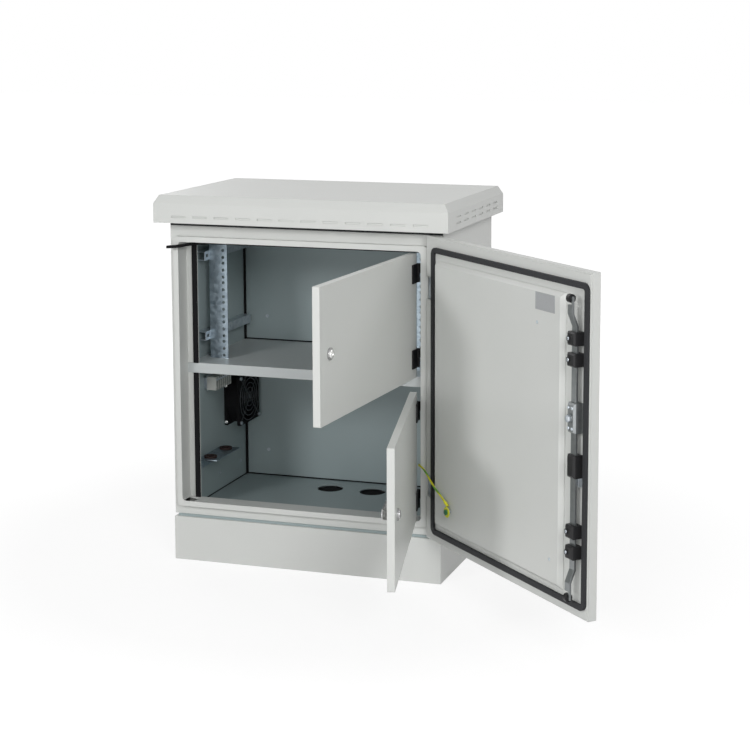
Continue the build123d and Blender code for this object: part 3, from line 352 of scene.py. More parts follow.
# %% Give every solid its finish
FINISH_OF_SLOT = {
    "painted_steel": OUTSIDE_GREY,
    # The lining gets the darker grey, which is painted shade of the bays.
    "lining_steel": LINING_GREY_PAINTED_SHADE,
    "zinc_steel": ZINC,
    "black_plastic": BLACK_PLASTIC,
    "seal_rubber": RUBBER,
    "terminal_plastic": PALE_PLASTIC,
    "bright_lock": NICKEL,
    "earth_insulation": EARTH_YELLOW,
}
FINISH_OF_NODE = {
    "cable_grommets": BROWN_RUBBER,
    # The shelf's darker grey is painted shade on its deck.
    "divider_shelf": SHELF_GREY_PAINTED_SHADE,
    "inner_door_seal": MATT_BLACK,
    "top_seal_strip": MATT_BLACK,
    "rack_rail_left": RAIL_ZINC,
    "rack_rail_right": RAIL_ZINC,
    "upper_lock_rod": ROD_ZINC,
    "lower_lock_rod": ROD_ZINC,
    "lock_gearbox": ROD_ZINC,
    "cable_bracket": RAIL_ZINC,
    # The collar in the gap under the body has the lining's darker grey as painted shade. It darkens the line of
    # the gap.
    "base_collar": LINING_GREY_PAINTED_SHADE,
    "fan_frame": MATT_BLACK,
    "fan_guard": GUARD_WIRE,
}

for part in frame["record"]["subparts"]:
    solid = nodes[part["node"]]
    finish = FINISH_OF_NODE.get(part["node"], FINISH_OF_SLOT[part["material_slot"]])
    solid.data.materials.clear()
    solid.data.materials.append(finish)

# %% [markdown]
# ## Finishing a new piece
# A new piece is modelled with operators at its shut place, turned to the open door and applied, so its
# object sits at the origin like the solids, and patterns on it keep their place. It then rides on a body
# and takes a finish. What repeats is modelled once and copied, and the copies are joined to one piece.


# %% Helpers for new pieces
SMOOTH_ANGLE = math.radians(35)


def clear_selection():
    """Leave edit mode and select nothing, since operators act on all that is selected."""
    if bpy.context.object and bpy.context.object.mode != "OBJECT":
        bpy.ops.object.mode_set(mode="OBJECT")
    bpy.ops.object.select_all(action="DESELECT")


def pick(piece):
    """Select one piece alone and make it active."""
    clear_selection()
    piece.select_set(True)
    bpy.context.view_layer.objects.active = piece


def settle(piece, name, finish, body, turn=AT_REST):
    """Turn a piece with its door, apply its place, name it and let it ride."""
    piece.matrix_world = turn @ piece.matrix_world
    pick(piece)
    bpy.ops.object.transform_apply(location=True, rotation=True, scale=True)
    bpy.ops.object.shade_smooth_by_angle(angle=SMOOTH_ANGLE)
    piece.name = name
    piece.data.materials.clear()
    piece.data.materials.append(finish)
    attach(piece, body)


# %% Faces, copies and joins
def select_faces(piece, test):
    """In edit mode, select the faces whose centre and normal pass a test."""
    bpy.ops.object.mode_set(mode="OBJECT")
    for vertex in piece.data.vertices:
        vertex.select = False
    for edge in piece.data.edges:
        edge.select = False
    for face in piece.data.polygons:
        face.select = bool(test(face.center, face.normal))
    bpy.ops.object.mode_set(mode="EDIT")
    bpy.ops.mesh.select_mode(type="FACE")


def join_pieces(pieces):
    """Make one object of several."""
    clear_selection()
    for piece in pieces:
        piece.select_set(True)
    bpy.context.view_layer.objects.active = pieces[0]
    if len(pieces) > 1:
        bpy.ops.object.join()
    return bpy.context.object


def copies_at(model, places, direction):
    """Copies of a model that stands on +Z, each turned to a direction at its place, joined as one."""
    along = Vector(direction).to_track_quat("Z", "Y").to_matrix().to_4x4()
    copies = []
    for place in places:
        copy = model.copy()
        copy.data = model.data.copy()
        bpy.context.scene.collection.objects.link(copy)
        copy.matrix_world = Matrix.Translation(Vector(place)) @ along
        copies.append(copy)
    bpy.data.objects.remove(model)
    return join_pieces(copies)


# %% [markdown]
# ## Pan-head screws
# Small bright screws show on the rod guides, the gearbox, the terminals, the fan and the door's liner. A
# sphere cut in half would give a dome, but a pan head is flat on top, so one screw is a short cylinder
# whose top rim is bevelled round and whose middle is inset and sunk for the driver.


# %% One screw, copied to its places
HEAD_SIDES = 20
RIM_SHARE = 0.55
RIM_STEPS = 3
DRIVE_RIM_SHARE = 0.28
DRIVE_DEPTH_SHARE = 0.5
FACING = 0.9
TOP_FACING = 0.99
TOP_SHARE = 0.95


def standing_cylinder(sides, radius, height):
    """A cylinder whose foot is at the origin, in edit mode with all of it selected."""
    clear_selection()
    bpy.ops.mesh.primitive_cylinder_add(vertices=sides, radius=radius, depth=height,
                                        location=(0, 0, height / 2))
    bpy.ops.object.transform_apply(location=True, rotation=False, scale=False)
    bpy.ops.object.mode_set(mode="EDIT")
    bpy.ops.mesh.select_all(action="SELECT")
    return bpy.context.object


def screw_head(radius, height):
    """A domed head on the +Z axis, with a sunk drive."""
    head = standing_cylinder(HEAD_SIDES, radius, height)
    select_faces(head, lambda centre, normal: normal.z > FACING)
    bpy.ops.mesh.bevel(offset=height * RIM_SHARE, segments=RIM_STEPS, affect="EDGES")
    select_faces(head, lambda centre, normal: normal.z > TOP_FACING and centre.z > height * TOP_SHARE)
    bpy.ops.mesh.inset(thickness=radius * DRIVE_RIM_SHARE)
    bpy.ops.mesh.extrude_region_move(TRANSFORM_OT_translate={"value": (0, 0, -height * DRIVE_DEPTH_SHARE)})
    bpy.ops.object.mode_set(mode="OBJECT")
    return head


def screws_at(name, places, direction, size, finish, body, turn=AT_REST):
    """Copies of one screw, whose size is its radius and height, settled as one piece."""
    screws = copies_at(screw_head(*size), places, direction)
    settle(screws, name, finish, body, turn)


# %% Screws on the lock line
INTO_CABINET = (0, 1, 0)
GUIDE_HEIGHT = 25 * MM
GUIDE_STEP = 39 * MM
SCREW_ASIDE = 6 * MM
BOX_FLANGE_DROP = 3 * MM
BOX_SCREW_END = 9 * MM
GUIDE_SCREW = (3.4 * MM, 2.2 * MM)
BOX_SCREW = (3.0 * MM, 2.0 * MM)
BOX_LOW, BOX_HIGH = shut_box("lock_gearbox", OUTER_DOOR)
guide_heights = [GUIDES_LOW.z + GUIDE_HEIGHT / 2, GUIDES_HIGH.z - GUIDE_HEIGHT / 2]
guide_heights += [guide_heights[0] + GUIDE_STEP, guide_heights[1] - GUIDE_STEP]
guide_places = [(LOCK_X + SCREW_ASIDE, GUIDES_HIGH.y, z) for z in guide_heights]
screws_at("guide_screws", guide_places, INTO_CABINET, GUIDE_SCREW, ZINC, "outer_door", OUTER_DOOR)
box_places = [(LOCK_X + side * SCREW_ASIDE, BOX_HIGH.y - BOX_FLANGE_DROP, z) for side in (-1, 1)
              for z in (BOX_LOW.z + BOX_SCREW_END, BOX_HIGH.z - BOX_SCREW_END)]
screws_at("gearbox_screws", box_places, INTO_CABINET, BOX_SCREW, ZINC, "outer_door", OUTER_DOOR)
print("screws on the lock line:", len(guide_places) + len(box_places))

# %% [markdown]
# ## Rings and the spindle's nut
# Each guide has a raised round seat under its screw. The handle's spindle ends in a hexagon nut on the
# gearbox. A seat could be spun from a profile, but both shapes are short cylinders whose rims are broken,
# so a cylinder with few or many sides and a bevel on its edges makes either.


# %% Rings and nut
SOFT_SHARE = 0.2
SOFT_STEPS = 2
HEXAGON = 6
RING_SIDES = 28
RING_RADIUS = 5.4 * MM
RING_HEIGHT = 1.4 * MM
SPINDLE_NUT_RADIUS = 7.2 * MM
SPINDLE_NUT_HEIGHT = 5 * MM


def round_piece(sides, radius, height):
    """A cylinder that stands on +Z, with softened edges."""
    piece = standing_cylinder(sides, radius, height)
    bpy.ops.mesh.bevel(offset=height * SOFT_SHARE, segments=SOFT_STEPS, affect="EDGES")
    bpy.ops.object.mode_set(mode="OBJECT")
    return piece


rings = copies_at(round_piece(RING_SIDES, RING_RADIUS, RING_HEIGHT), guide_places, INTO_CABINET)
settle(rings, "guide_rings", BLACK_PLASTIC, "outer_door", OUTER_DOOR)
box_middle = (BOX_LOW.z + BOX_HIGH.z) / 2
nut = copies_at(round_piece(HEXAGON, SPINDLE_NUT_RADIUS, SPINDLE_NUT_HEIGHT),
                [(LOCK_X, BOX_HIGH.y, box_middle)], INTO_CABINET)
settle(nut, "spindle_nut", ZINC, "outer_door", OUTER_DOOR)
print("rings and nut set")

# %% [markdown]
# ## Strips in the seams and behind the slots
# The lining's panels meet with open seams, and a black foam strip lies in each. A rubber membrane closes
# each cable entry until a cable is pushed through it. Behind the roof's slots stands a pale baffle that
# keeps rain and insects out. A black strip under the roof's edge, along the frame's top, is painted shadow:
# it stands for the shade that the roof's edge leaves there. Dark paint could only hint at the seams, the
# membranes and the baffles. Strips with softened edges catch the light, and they take their place from the
# panels' own faces.


# %% One strip
STRIP_EDGE = 0.2 * MM


def strip_block(low, high):
    """A block between two corners, given in metres, with softened edges."""
    clear_selection()
    middle = [(first + last) / 2 for first, last in zip(low, high)]
    bpy.ops.mesh.primitive_cube_add(size=1, location=middle)
    block = bpy.context.object
    block.scale = [last - first for first, last in zip(low, high)]
    bpy.ops.object.transform_apply(location=False, rotation=False, scale=True)
    bpy.ops.object.mode_set(mode="EDIT")
    bpy.ops.mesh.select_all(action="SELECT")
    bpy.ops.mesh.bevel(offset=STRIP_EDGE, segments=SOFT_STEPS, affect="EDGES")
    bpy.ops.object.mode_set(mode="OBJECT")
    return block


# %% Strips in the seams
BACK_LOW = shut_box("lining_back_panel", AT_REST)[0]
WALL_LOW, WALL_HIGH = shut_box("lining_left_panel", AT_REST)
FLOOR_LOW, FLOOR_HIGH = shut_box("floor_plate", AT_REST)
SHELF_LOW, SHELF_HIGH = shut_box("divider_shelf", AT_REST)
STRIP = 4.0 * MM
BACK_STRIP_DEEP = 3.2 * MM
BACK_STRIP_HIGH = 2.4 * MM
FLOOR_STRIP = 2.0 * MM
INSET = 0.2 * MM
wall = WALL_HIGH.x
back_face = BACK_LOW.y - INSET


def both_walls(width):
    """The reach in X of a strip of a width at the left wall and at the right wall."""
    return (wall + INSET, wall + width), (-wall - width, -wall - INSET)


strips = [strip_block((first, WALL_HIGH.y + INSET, low_z), (last, back_face, high_z))
          for low_z, high_z in ((FLOOR_HIGH.z, SHELF_LOW.z), (SHELF_HIGH.z, WALL_HIGH.z))
          for first, last in both_walls(STRIP)]
strips += [strip_block((wall + STRIP, back_face - BACK_STRIP_DEEP, level),
                       (-wall - STRIP, back_face, level + BACK_STRIP_HIGH))
           for level in (FLOOR_HIGH.z, SHELF_HIGH.z)]
strips += [strip_block((first, WALL_LOW.y + STRIP, FLOOR_HIGH.z),
                       (last, WALL_HIGH.y, FLOOR_HIGH.z + FLOOR_STRIP))
           for first, last in both_walls(FLOOR_STRIP)]
print("strips in the seams:", len(strips))
settle(join_pieces(strips), "seam_strips", MATT_BLACK, "cabinet")

# %% Membranes in the cable entries
ENTRY_PLACES = [(-44 * MM, 87 * MM), (60 * MM, 87 * MM)]
ENTRY_RADIUS = 32 * MM
ENTRY_SIDES = 40
UPWARDS = (0, 0, 1)
MEMBRANE = 1.6 * MM
membranes = copies_at(round_piece(ENTRY_SIDES, ENTRY_RADIUS, MEMBRANE),
                      [(x, y, FLOOR_LOW.z + INSET) for x, y in ENTRY_PLACES], UPWARDS)
settle(membranes, "entry_membranes", MATT_BLACK, "cabinet")
print("cable entries closed:", len(ENTRY_PLACES))

# %% Baffles behind the roof's slots
HOOD_LOW, HOOD_HIGH = shut_box("roof_hood", AT_REST)
HOOD_SHEET = 2.05 * MM
BAFFLE = 0.8 * MM
FRONT_BAFFLE_LOW = HOOD_LOW.z + 8 * MM
FRONT_BAFFLE_HIGH = HOOD_LOW.z + 20 * MM
FRONT_BAFFLE_HALF = 300 * MM
SIDE_BAFFLE_LOW = HOOD_LOW.z + 9 * MM
SIDE_BAFFLE_HIGH = HOOD_LOW.z + 34 * MM
SIDE_BAFFLE_HALF = 168 * MM
baffle_y = HOOD_LOW.y + HOOD_SHEET
left_x = HOOD_LOW.x + HOOD_SHEET
right_x = HOOD_HIGH.x - HOOD_SHEET
baffles = [strip_block((-FRONT_BAFFLE_HALF, baffle_y, FRONT_BAFFLE_LOW),
                       (FRONT_BAFFLE_HALF, baffle_y + BAFFLE, FRONT_BAFFLE_HIGH))]
baffles += [strip_block((first, -SIDE_BAFFLE_HALF, SIDE_BAFFLE_LOW),
                        (last, SIDE_BAFFLE_HALF, SIDE_BAFFLE_HIGH))
            for first, last in ((left_x, left_x + BAFFLE), (right_x - BAFFLE, right_x))]
print("baffles behind the roof's slots:", len(baffles))
settle(join_pieces(baffles), "roof_baffles", OUTSIDE_GREY, "cabinet")

# %% Black strip as painted shadow under the roof's edge
FRAME_LOW, FRAME_HIGH = shut_box("front_frame", AT_REST)
FRAME_FACE_Y = -183 * MM
EAVES_DROP = 9 * MM
EAVES_THICK = 1.5 * MM
EAVES_END = MM
# A black strip along the frame's top, painted shadow for the shade under the roof's edge.
eaves = strip_block((FRAME_LOW.x + EAVES_END, FRAME_FACE_Y - EAVES_THICK, HOOD_LOW.z - EAVES_DROP),
                    (FRAME_HIGH.x - EAVES_END, FRAME_FACE_Y, HOOD_LOW.z))
settle(eaves, "eaves_painted_shadow", RUBBER, "cabinet")
print("foam strip under the roof is", round(eaves.dimensions.x, 3), "m long")

# %% [markdown]
# ## Soft seal strip
# The strip under the top of the mouth is loose rubber with a tail that hangs out. When the door shuts, it
# is pressed flat against the flange behind it. A rigid solid would cut through the shut door, and what is
# shown is a copy of it that keeps its stored shape and is not flattened. The copy is merged first, because a
# solid's mesh is loose triangles. It is then fattened a little, as foam swells when nothing presses on it,
# and its tail ends inside the cabinet's side.

# %% Soft strip
SWELL = 1.0 * MM
MERGE = 0.01 * MM
TAIL_END_X = -310.5 * MM
soft_strip = bpy.data.objects.new("soft_seal_strip", nodes["top_seal_strip"].data.copy())
bpy.context.scene.collection.objects.link(soft_strip)
pick(soft_strip)
bpy.ops.object.mode_set(mode="EDIT")
bpy.ops.mesh.select_all(action="SELECT")
bpy.ops.mesh.remove_doubles(threshold=MERGE)
bpy.ops.transform.shrink_fatten(value=SWELL)
bpy.ops.object.mode_set(mode="OBJECT")
for vertex in soft_strip.data.vertices:
    vertex.co.x = max(vertex.co.x, TAIL_END_X)
settle(soft_strip, "soft_seal_strip", MATT_BLACK, "cabinet")
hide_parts("top_seal_strip")
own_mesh(soft_strip)
print("soft strip has", len(soft_strip.data.vertices), "points")

# %% [markdown]
# ## Terminals, fan fixings and the inner locks' ends
# Every terminal has a clamping screw near its top, and two bright screws hold the fan's rear flange to the
# wall. The barrels of the inner locks wear a pale cap behind the door, which turns with the lock and covers
# the root of the cam. In front of the door each barrel ends in a domed plug with a sunk drive. The two plugs
# are alike. The upper one has the bright nickel, and the lower one's duller nickel is painted shade for the
# shade on its door's face, which stands edge-on. All of these are round, so the screw and the round piece
# from before make them, at other sizes.

# %% Terminal screws
OFF_THE_LEFT_WALL = (1, 0, 0)
FIRST_TERMINAL = 5 * MM
CLAMP_ABOVE_MIDDLE = 9 * MM
CLAMP_SCREW = (3.2 * MM, 1.4 * MM)
terminal_count = int((TERMINAL_HIGH.y - TERMINAL_LOW.y) / TERMINAL_PITCH) + 1
clamp_z = (TERMINAL_LOW.z + TERMINAL_HIGH.z) / 2 + CLAMP_ABOVE_MIDDLE
clamp_places = [(TERMINAL_HIGH.x, TERMINAL_LOW.y + FIRST_TERMINAL + step * TERMINAL_PITCH, clamp_z)
                for step in range(terminal_count)]
screws_at("terminal_screws", clamp_places, OFF_THE_LEFT_WALL, CLAMP_SCREW, ZINC, "cabinet")
print("terminals:", terminal_count)

# %% Fan fixings
FAN_LOW, FAN_HIGH = shut_box("fan_frame", AT_REST)
OUT_OF_CABINET = (0, -1, 0)
FAN_FLANGE_MIDDLE = 5 * MM
LOWER_FAN_SCREW = 9 * MM
UPPER_FAN_SCREW = 24 * MM
FAN_SCREW = (4.2 * MM, 3 * MM)
fan_places = [(FAN_LOW.x + FAN_FLANGE_MIDDLE, FAN_LOW.y, z)
              for z in (FAN_LOW.z + LOWER_FAN_SCREW, FAN_HIGH.z - UPPER_FAN_SCREW)]
screws_at("fan_fixings", fan_places, OUT_OF_CABINET, FAN_SCREW, BRIGHT_NICKEL, "cabinet")
print("fan fixings:", len(fan_places))

# %% Caps and plugs on the inner locks
PLUG_RADIUS = 8.5 * MM
PLUG_HEIGHT = 4.0 * MM
CAP_SIDES = 32
CAP_RADIUS = 10.5 * MM
CAP_PAST_CAM = 0.6 * MM
CAP_LENGTH = 16.6 * MM
BARREL_RADIUS = 12 * MM
# Both plugs are alike. The lower one's duller nickel is painted shade.
for lock, body, turn, plug_finish in (("upper_inner_lock", "upper_cam", UPPER_DOOR, BRIGHT_NICKEL),
                                      ("lower_inner_lock", "lower_cam", LOWER_DOOR, NICKEL)):
    lock_low, lock_high = shut_box(lock, turn)
    centre_x = lock_low.x + BARREL_RADIUS
    centre_z = (lock_low.z + lock_high.z) / 2
    cap_start = lock_high.y + CAP_PAST_CAM - CAP_LENGTH
    cap = copies_at(round_piece(CAP_SIDES, CAP_RADIUS, CAP_LENGTH),
                    [(centre_x, cap_start, centre_z)], INTO_CABINET)
    settle(cap, lock + "_cap", OUTSIDE_GREY, body, turn)
    plug = copies_at(screw_head(PLUG_RADIUS, PLUG_HEIGHT),
                     [(centre_x, lock_low.y, centre_z)], OUT_OF_CABINET)
    settle(plug, lock + "_plug", plug_finish, body, turn)
print("lock caps and plugs set")

# %% [markdown]
# ## Bare plate and fixing marks on the door's liner
# A small bare foil plate sits high on the liner. A flat patch of colour would look painted on, so it is a
# thin plate whose face is inset and sunk a little inside a raised border. Two screws that hold the liner
# show on its field.

# %% Bare plate
PLATE_WIDTH = 66 * MM
PLATE_HEIGHT = 33 * MM
PLATE_THICK = 0.8 * MM
PLATE_X = -172 * MM
PLATE_Z = 681 * MM
PLATE_BORDER = 3 * MM
PLATE_SUNK = 0.25 * MM
clear_selection()
bpy.ops.mesh.primitive_cube_add(size=1, location=(PLATE_X, LINER_HIGH.y + PLATE_THICK / 2, PLATE_Z))
plate = bpy.context.object
plate.scale = (PLATE_WIDTH, PLATE_THICK, PLATE_HEIGHT)
bpy.ops.object.transform_apply(location=False, rotation=False, scale=True)
bpy.ops.object.mode_set(mode="EDIT")
select_faces(plate, lambda centre, normal: normal.y > FACING)
bpy.ops.mesh.inset(thickness=PLATE_BORDER)
bpy.ops.mesh.extrude_region_move(TRANSFORM_OT_translate={"value": (0, -PLATE_SUNK, 0)})
bpy.ops.object.mode_set(mode="OBJECT")
settle(plate, "bare_plate", PLATE_METAL, "outer_door", OUTER_DOOR)
print("bare plate set on the liner")

# %% Fixings that show on the liner's field
LINER_FIXINGS = [(-145 * MM, 640 * MM), (-195 * MM, 196 * MM)]
LINER_SCREW = (3.2 * MM, 1.2 * MM)
fixing_places = [(x, LINER_HIGH.y, z) for x, z in LINER_FIXINGS]
screws_at("liner_fixings", fixing_places, INTO_CABINET, LINER_SCREW, ZINC, "outer_door", OUTER_DOOR)
print("fixings on the liner:", len(fixing_places))

# %% [markdown]
# ## Earth wire
# The wire joins the frame to the door, and its bend lies close to the hinge's axis. Here it is one fixed
# tube along its route at the open door, and it does not bend when the door moves. A curve with a bevel would
# give a tube, but not a map that keeps its scale. So a smooth spline on the route's points gives the line,
# and a tube is built along it with a map that runs along and around. On that map the yellow and green
# insulation winds as it does on real earth wire.

# %% A smooth line through the route
WIRE_POINTS = [
    (0.2610, -0.1786, 0.2530),
    (0.2610, -0.2000, 0.2620),
    (0.2850, -0.2260, 0.2580),
    (0.3138, -0.2633, 0.2360),
    (0.3429, -0.2902, 0.2190),
    (0.3581, -0.3014, 0.2050),
]
SPLINE_ORDER = 3
SPLINE_STEPS = 12


def smooth_line(points):
    """Points read from a NURBS spline on the route."""
    curve = bpy.data.curves.new("route", "CURVE")
    curve.dimensions = "3D"
    spline = curve.splines.new("NURBS")
    spline.points.add(len(points) - 1)
    for knot, point in zip(spline.points, points):
        knot.co = (*point, 1)
    spline.order_u = SPLINE_ORDER
    spline.use_endpoint_u = True
    spline.resolution_u = SPLINE_STEPS
    holder = bpy.data.objects.new("route", curve)
    mesh = bpy.data.meshes.new_from_object(holder)
    line = [vertex.co.copy() for vertex in mesh.vertices]
    bpy.data.objects.remove(holder)
    bpy.data.meshes.remove(mesh)
    return line


wire_line = smooth_line(WIRE_POINTS)
print("points on the wire's line:", len(wire_line))


# %% A tube along a line
def tube_points(line, radius, sides):
    """Rings of points around a line, carried along it without twist."""
    turns = [math.tau * step / sides for step in range(sides)]
    points = []
    side = None
    for index, point in enumerate(line):
        ahead = line[min(index + 1, len(line) - 1)] - line[max(index - 1, 0)]
        ahead.normalize()
        side = ahead.orthogonal() if side is None else side - ahead * side.dot(ahead)
        side.normalize()
        other = ahead.cross(side)
        points += [point + (side * math.cos(turn) + other * math.sin(turn)) * radius for turn in turns]
    return points


def tube_faces(rows, sides):
    """Faces between rings of points, and a face on each end."""
    faces = []
    for low in range(0, (rows - 1) * sides, sides):
        high = low + sides
        for step in range(sides):
            after = (step + 1) % sides
            faces.append((low + step, low + after, high + after, high + step))
    faces.append(tuple(reversed(range(sides))))
    faces.append(tuple(range((rows - 1) * sides, rows * sides)))
    return faces


def tube_piece(name, line, radius, sides):
    """A closed tube, with a map of metres along it and turns around it, and its length."""
    mesh = bpy.data.meshes.new(name)
    mesh.from_pydata(tube_points(line, radius, sides), [], tube_faces(len(line), sides))
    travel = [0.0]
    for before, after in zip(line, line[1:]):
        travel.append(travel[-1] + (after - before).length)
    layer = mesh.uv_layers.new(name="along_and_around")
    for face in mesh.polygons:
        turns = [mesh.loops[loop].vertex_index % sides for loop in face.loop_indices]
        seam = max(turns) - min(turns) > 1 and len(turns) == 4
        for loop, turn in zip(face.loop_indices, turns):
            row = mesh.loops[loop].vertex_index // sides
            around = sides if seam and turn == 0 else turn
            layer.data[loop].uv = (travel[row], around / sides)
    piece = bpy.data.objects.new(name, mesh)
    bpy.context.scene.collection.objects.link(piece)
    return piece, travel[-1]


# %% Insulation that winds
WIRE_ROUGHNESS = 0.38
WIRE_GRAIN = 500.0
WIRE_GRAIN_STRENGTH = 0.05
WIRE_GRAIN_DEPTH = 0.1 * MM


def winding_insulation(name, yellow, green, pitch, share):
    """Two colours that wind along the wire."""
    material, tree, shader, place = new_finish(name, yellow, WIRE_ROUGHNESS)
    along = tree.nodes.new("ShaderNodeUVMap")
    along.uv_map = "along_and_around"
    split = tree.nodes.new("ShaderNodeSeparateXYZ")
    tree.links.new(along.outputs["UV"], split.inputs["Vector"])
    turns = tree.nodes.new("ShaderNodeMath")
    turns.operation = "MULTIPLY_ADD"
    turns.inputs[1].default_value = 1 / pitch
    tree.links.new(split.outputs["X"], turns.inputs[0])
    tree.links.new(split.outputs["Y"], turns.inputs[2])
    colour = two_colours(tree, bands(tree, turns.outputs["Value"], share), yellow, green)
    tree.links.new(colour, shader.inputs["Base Color"])
    add_bump(tree, shader, noise(tree, place, WIRE_GRAIN), WIRE_GRAIN_STRENGTH, WIRE_GRAIN_DEPTH)
    return material


WINDING_PITCH = 60 * MM
YELLOW_SHARE = 0.62
WOUND_INSULATION = winding_insulation("earth_insulation_wound", (0.60, 0.58, 0.02), (0.10, 0.30, 0.03),
                                      WINDING_PITCH, YELLOW_SHARE)
print("insulation winds once in", WINDING_PITCH, "m")

# %% The wire itself
WIRE_RADIUS = 2.2 * MM
WIRE_SIDES = 14
WIRE_SMOOTH_ANGLE = math.radians(60)
wire, wire_length = tube_piece("earth_wire_insulated", wire_line, WIRE_RADIUS, WIRE_SIDES)
wire.data.materials.append(WOUND_INSULATION)
pick(wire)
bpy.ops.object.shade_smooth_by_angle(angle=WIRE_SMOOTH_ANGLE)
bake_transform(wire)
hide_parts("earth_wire")
print("earth wire is", round(wire_length, 3), "m long")

# %% [markdown]
# ## Ends of the earth wire
# Each end of the wire sits in a crimped sleeve. A cylinder would have to be turned to the wire's end by
# hand, so a sleeve is a short, wider tube on the same points. On the door a yellow washer and a hexagon nut
# hold the wire to its stud.

# %% Sleeves
SLEEVE_RADIUS = 3.1 * MM
SLEEVE_POINTS = 5
for name, line, body in (("frame_wire_sleeve", wire_line[:SLEEVE_POINTS], "cabinet"),
                         ("door_wire_sleeve", wire_line[-SLEEVE_POINTS:], "outer_door")):
    sleeve, sleeve_length = tube_piece(name, line, SLEEVE_RADIUS, WIRE_SIDES)
    settle(sleeve, name, EARTH_YELLOW, body)
    print(name, "is", round(sleeve_length, 4), "m long")

# %% Washer and nut
STUD_LOW, STUD_HIGH = shut_box("door_earth_stud", OUTER_DOOR)
stud_centre = (STUD_LOW + STUD_HIGH) / 2
WASHER_SIDES = 32
WASHER_RADIUS = 11.5 * MM
WASHER_THICK = 1.0 * MM
EARTH_NUT_RADIUS = 6.4 * MM
EARTH_NUT_HEIGHT = 4.0 * MM
for name, sides, radius, low, thick, finish in (
        ("earth_washer", WASHER_SIDES, WASHER_RADIUS, 0.0, WASHER_THICK, EARTH_YELLOW),
        ("earth_nut", HEXAGON, EARTH_NUT_RADIUS, WASHER_THICK, EARTH_NUT_HEIGHT, EARTH_GREEN)):
    fastener = copies_at(round_piece(sides, radius, thick),
                         [(stud_centre.x, STUD_HIGH.y + low, stud_centre.z)], INTO_CABINET)
    settle(fastener, name, finish, "outer_door", OUTER_DOOR)
print("washer and nut set on the stud")

# %% [markdown]
# ## Camera
# The photograph was taken from the front right, a little above the roof. A camera could be set by eye, but
# then no edge would lie where it should. So the place, lens and small shift come from fitting the cabinet's
# corners to their places in the picture. The lens is given in pixels of that picture and turned into
# millimetres here.

# %% Camera
CAMERA_PLACE = (1.3979, -3.7705, 1.2153)
CAMERA_YAW = 0.3069
CAMERA_PITCH = 0.1379
FOCAL_PIXELS = 1809.1
PICTURE_PIXELS = 750
AXIS_PIXEL = (420, 262)
SENSOR_WIDTH = 36
level_reach = math.cos(CAMERA_PITCH)
looking = Vector((-math.sin(CAMERA_YAW) * level_reach, math.cos(CAMERA_YAW) * level_reach,
                  -math.sin(CAMERA_PITCH)))
camera_data = bpy.data.cameras.new("camera")
camera = bpy.data.objects.new("camera", camera_data)
bpy.context.scene.collection.objects.link(camera)
camera.location = CAMERA_PLACE
camera.rotation_euler = looking.to_track_quat("-Z", "Y").to_euler()
camera_data.sensor_width = SENSOR_WIDTH
camera_data.lens = FOCAL_PIXELS * SENSOR_WIDTH / PICTURE_PIXELS
camera_data.shift_x = 0.5 - AXIS_PIXEL[0] / PICTURE_PIXELS
camera_data.shift_y = AXIS_PIXEL[1] / PICTURE_PIXELS - 0.5
bpy.context.scene.camera = camera
print("lens", round(camera_data.lens, 1), "mm")

# %% [markdown]
# ## Studio
# The light in the photograph is broad and soft, with no hard shadow. One bright sky would give that too,
# but it would flatten the bays. So square lamps do most of it: a key from the front left, a second lamp
# high on the front right whose light passes over the open door, and small ones low in front, at the right,
# above and at the rear.


# %% Lamps
def soft_lamp(name, place, target, size, power):
    """A square lamp that faces a target, with its size in metres and its power in watts."""
    lamp = bpy.data.lights.new(name, "AREA")
    lamp.size = size
    lamp.energy = power
    holder = bpy.data.objects.new(name, lamp)
    bpy.context.scene.collection.objects.link(holder)
    holder.location = place
    holder.rotation_euler = (Vector(target) - Vector(place)).to_track_quat("-Z", "Y").to_euler()


CABINET_MIDDLE = (0.1, -0.1, 0.45)
LAMPS = [
    ("key", (-1.65, -3.9, 2.1), 0.9, 51),
    ("front_right", (2.3, -3.4, 2.2), 1.4, 62),
    ("right", (2.4, 0.4, 2.3), 1.0, 9),
    ("top", (0.0, 0.5, 3.2), 1.6, 9),
    ("low_front", (0.2, -3.4, 0.45), 1.2, 12),
    ("rear_left", (-2.4, 2.4, 2.0), 1.5, 26),
]
for name, place, size, power in LAMPS:
    soft_lamp(name, place, CABINET_MIDDLE, size, power)
print("lamps:", len(LAMPS))

# %% [markdown]
# ## Surroundings and floor
# The photograph has a white ground with only a faint shadow. A sky bright enough to look white would also
# wash out the metal. So the sky and the floor are bright where they are seen, and dim where they only light
# the cabinet. The floor glows a little less near the cabinet, where a diffuse part takes the shadow.


# %% White surroundings
def seen_directly(tree):
    """1 for rays from the camera, mirrors and glass, 0 for the light that falls on things."""
    path = tree.nodes.new("ShaderNodeLightPath")
    first = tree.nodes.new("ShaderNodeMath")
    first.operation = "MAXIMUM"
    tree.links.new(path.outputs["Is Camera Ray"], first.inputs[0])
    tree.links.new(path.outputs["Is Glossy Ray"], first.inputs[1])
    second = tree.nodes.new("ShaderNodeMath")
    second.operation = "MAXIMUM"
    tree.links.new(first.outputs["Value"], second.inputs[0])
    tree.links.new(path.outputs["Is Transmission Ray"], second.inputs[1])
    return second.outputs["Value"]


SKY_LIGHT = 0.22
SKY_SEEN = 1.0
world = bpy.data.worlds.new("studio")
bpy.context.scene.world = world
world.use_nodes = True
sky = world.node_tree
sky.nodes["Background"].inputs["Color"].default_value = (1, 1, 1, 1)
strength = sky.nodes.new("ShaderNodeMapRange")
strength.inputs["To Min"].default_value = SKY_LIGHT
strength.inputs["To Max"].default_value = SKY_SEEN
sky.links.new(seen_directly(sky), strength.inputs["Value"])
sky.links.new(strength.outputs["Result"], sky.nodes["Background"].inputs["Strength"])
print("sky lights with", SKY_LIGHT, "and is seen with", SKY_SEEN)

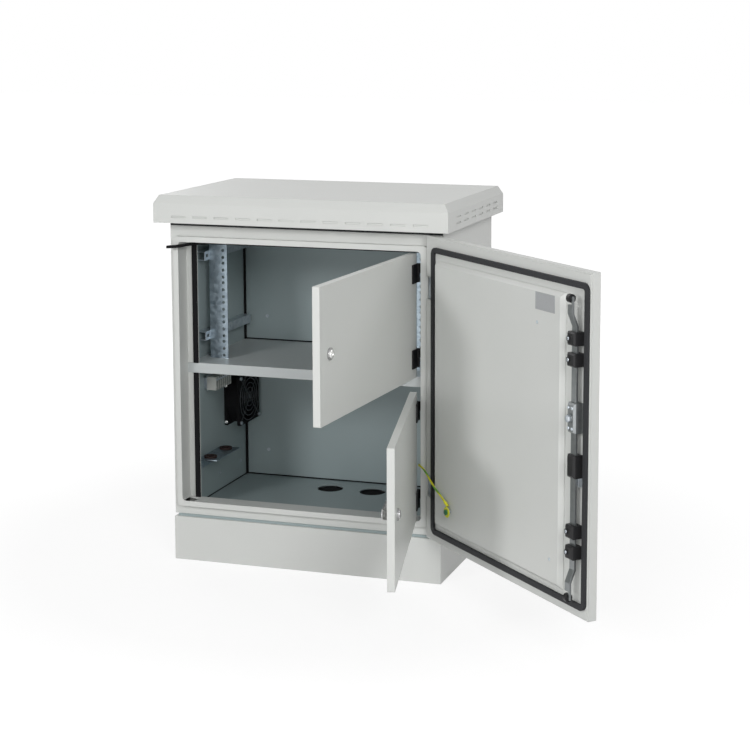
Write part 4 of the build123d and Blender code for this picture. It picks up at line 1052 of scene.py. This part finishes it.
# %% Finish of the pale floor
FLOOR_GREY = (0.8, 0.8, 0.8, 1)
SHADOW_GREY = (0.22, 0.22, 0.22, 1)
FADE_START = 0.7
FADE_END = 1.7
NEAR_GLOW = 0.82
FAR_GLOW = 1.0
pale = bpy.data.materials.new("pale_floor")
pale.use_nodes = True
tree = pale.node_tree
tree.nodes.remove(tree.nodes["Principled BSDF"])
matt = tree.nodes.new("ShaderNodeBsdfDiffuse")
matt.inputs["Color"].default_value = FLOOR_GREY
thin = tree.nodes.new("ShaderNodeBsdfDiffuse")
thin.inputs["Color"].default_value = SHADOW_GREY
glow = tree.nodes.new("ShaderNodeEmission")
reach = tree.nodes.new("ShaderNodeVectorMath")
reach.operation = "LENGTH"
tree.links.new(tree.nodes.new("ShaderNodeTexCoord").outputs["Object"], reach.inputs[0])
fade = tree.nodes.new("ShaderNodeMapRange")
fade.inputs["From Min"].default_value = FADE_START
fade.inputs["From Max"].default_value = FADE_END
fade.inputs["To Min"].default_value = NEAR_GLOW
fade.inputs["To Max"].default_value = FAR_GLOW
tree.links.new(reach.outputs["Value"], fade.inputs["Value"])
tree.links.new(fade.outputs["Result"], glow.inputs["Strength"])
both = tree.nodes.new("ShaderNodeAddShader")
tree.links.new(thin.outputs["BSDF"], both.inputs[0])
tree.links.new(glow.outputs["Emission"], both.inputs[1])
choice = tree.nodes.new("ShaderNodeMixShader")
tree.links.new(seen_directly(tree), choice.inputs["Fac"])
tree.links.new(matt.outputs["BSDF"], choice.inputs[1])
tree.links.new(both.outputs["Shader"], choice.inputs[2])
tree.links.new(choice.outputs["Shader"], tree.nodes["Material Output"].inputs["Surface"])
print("floor glows from", FADE_START, "to", FADE_END, "m")

# %% Pale floor
FLOOR_SIZE = 40.0
clear_selection()
bpy.ops.mesh.primitive_plane_add(size=FLOOR_SIZE, location=(0, 0, 0))
floor = bpy.context.object
floor.name = "floor"
floor.data.materials.append(pale)
bpy.context.scene.view_settings.view_transform = "Standard"
print("floor is", FLOOR_SIZE, "m wide")
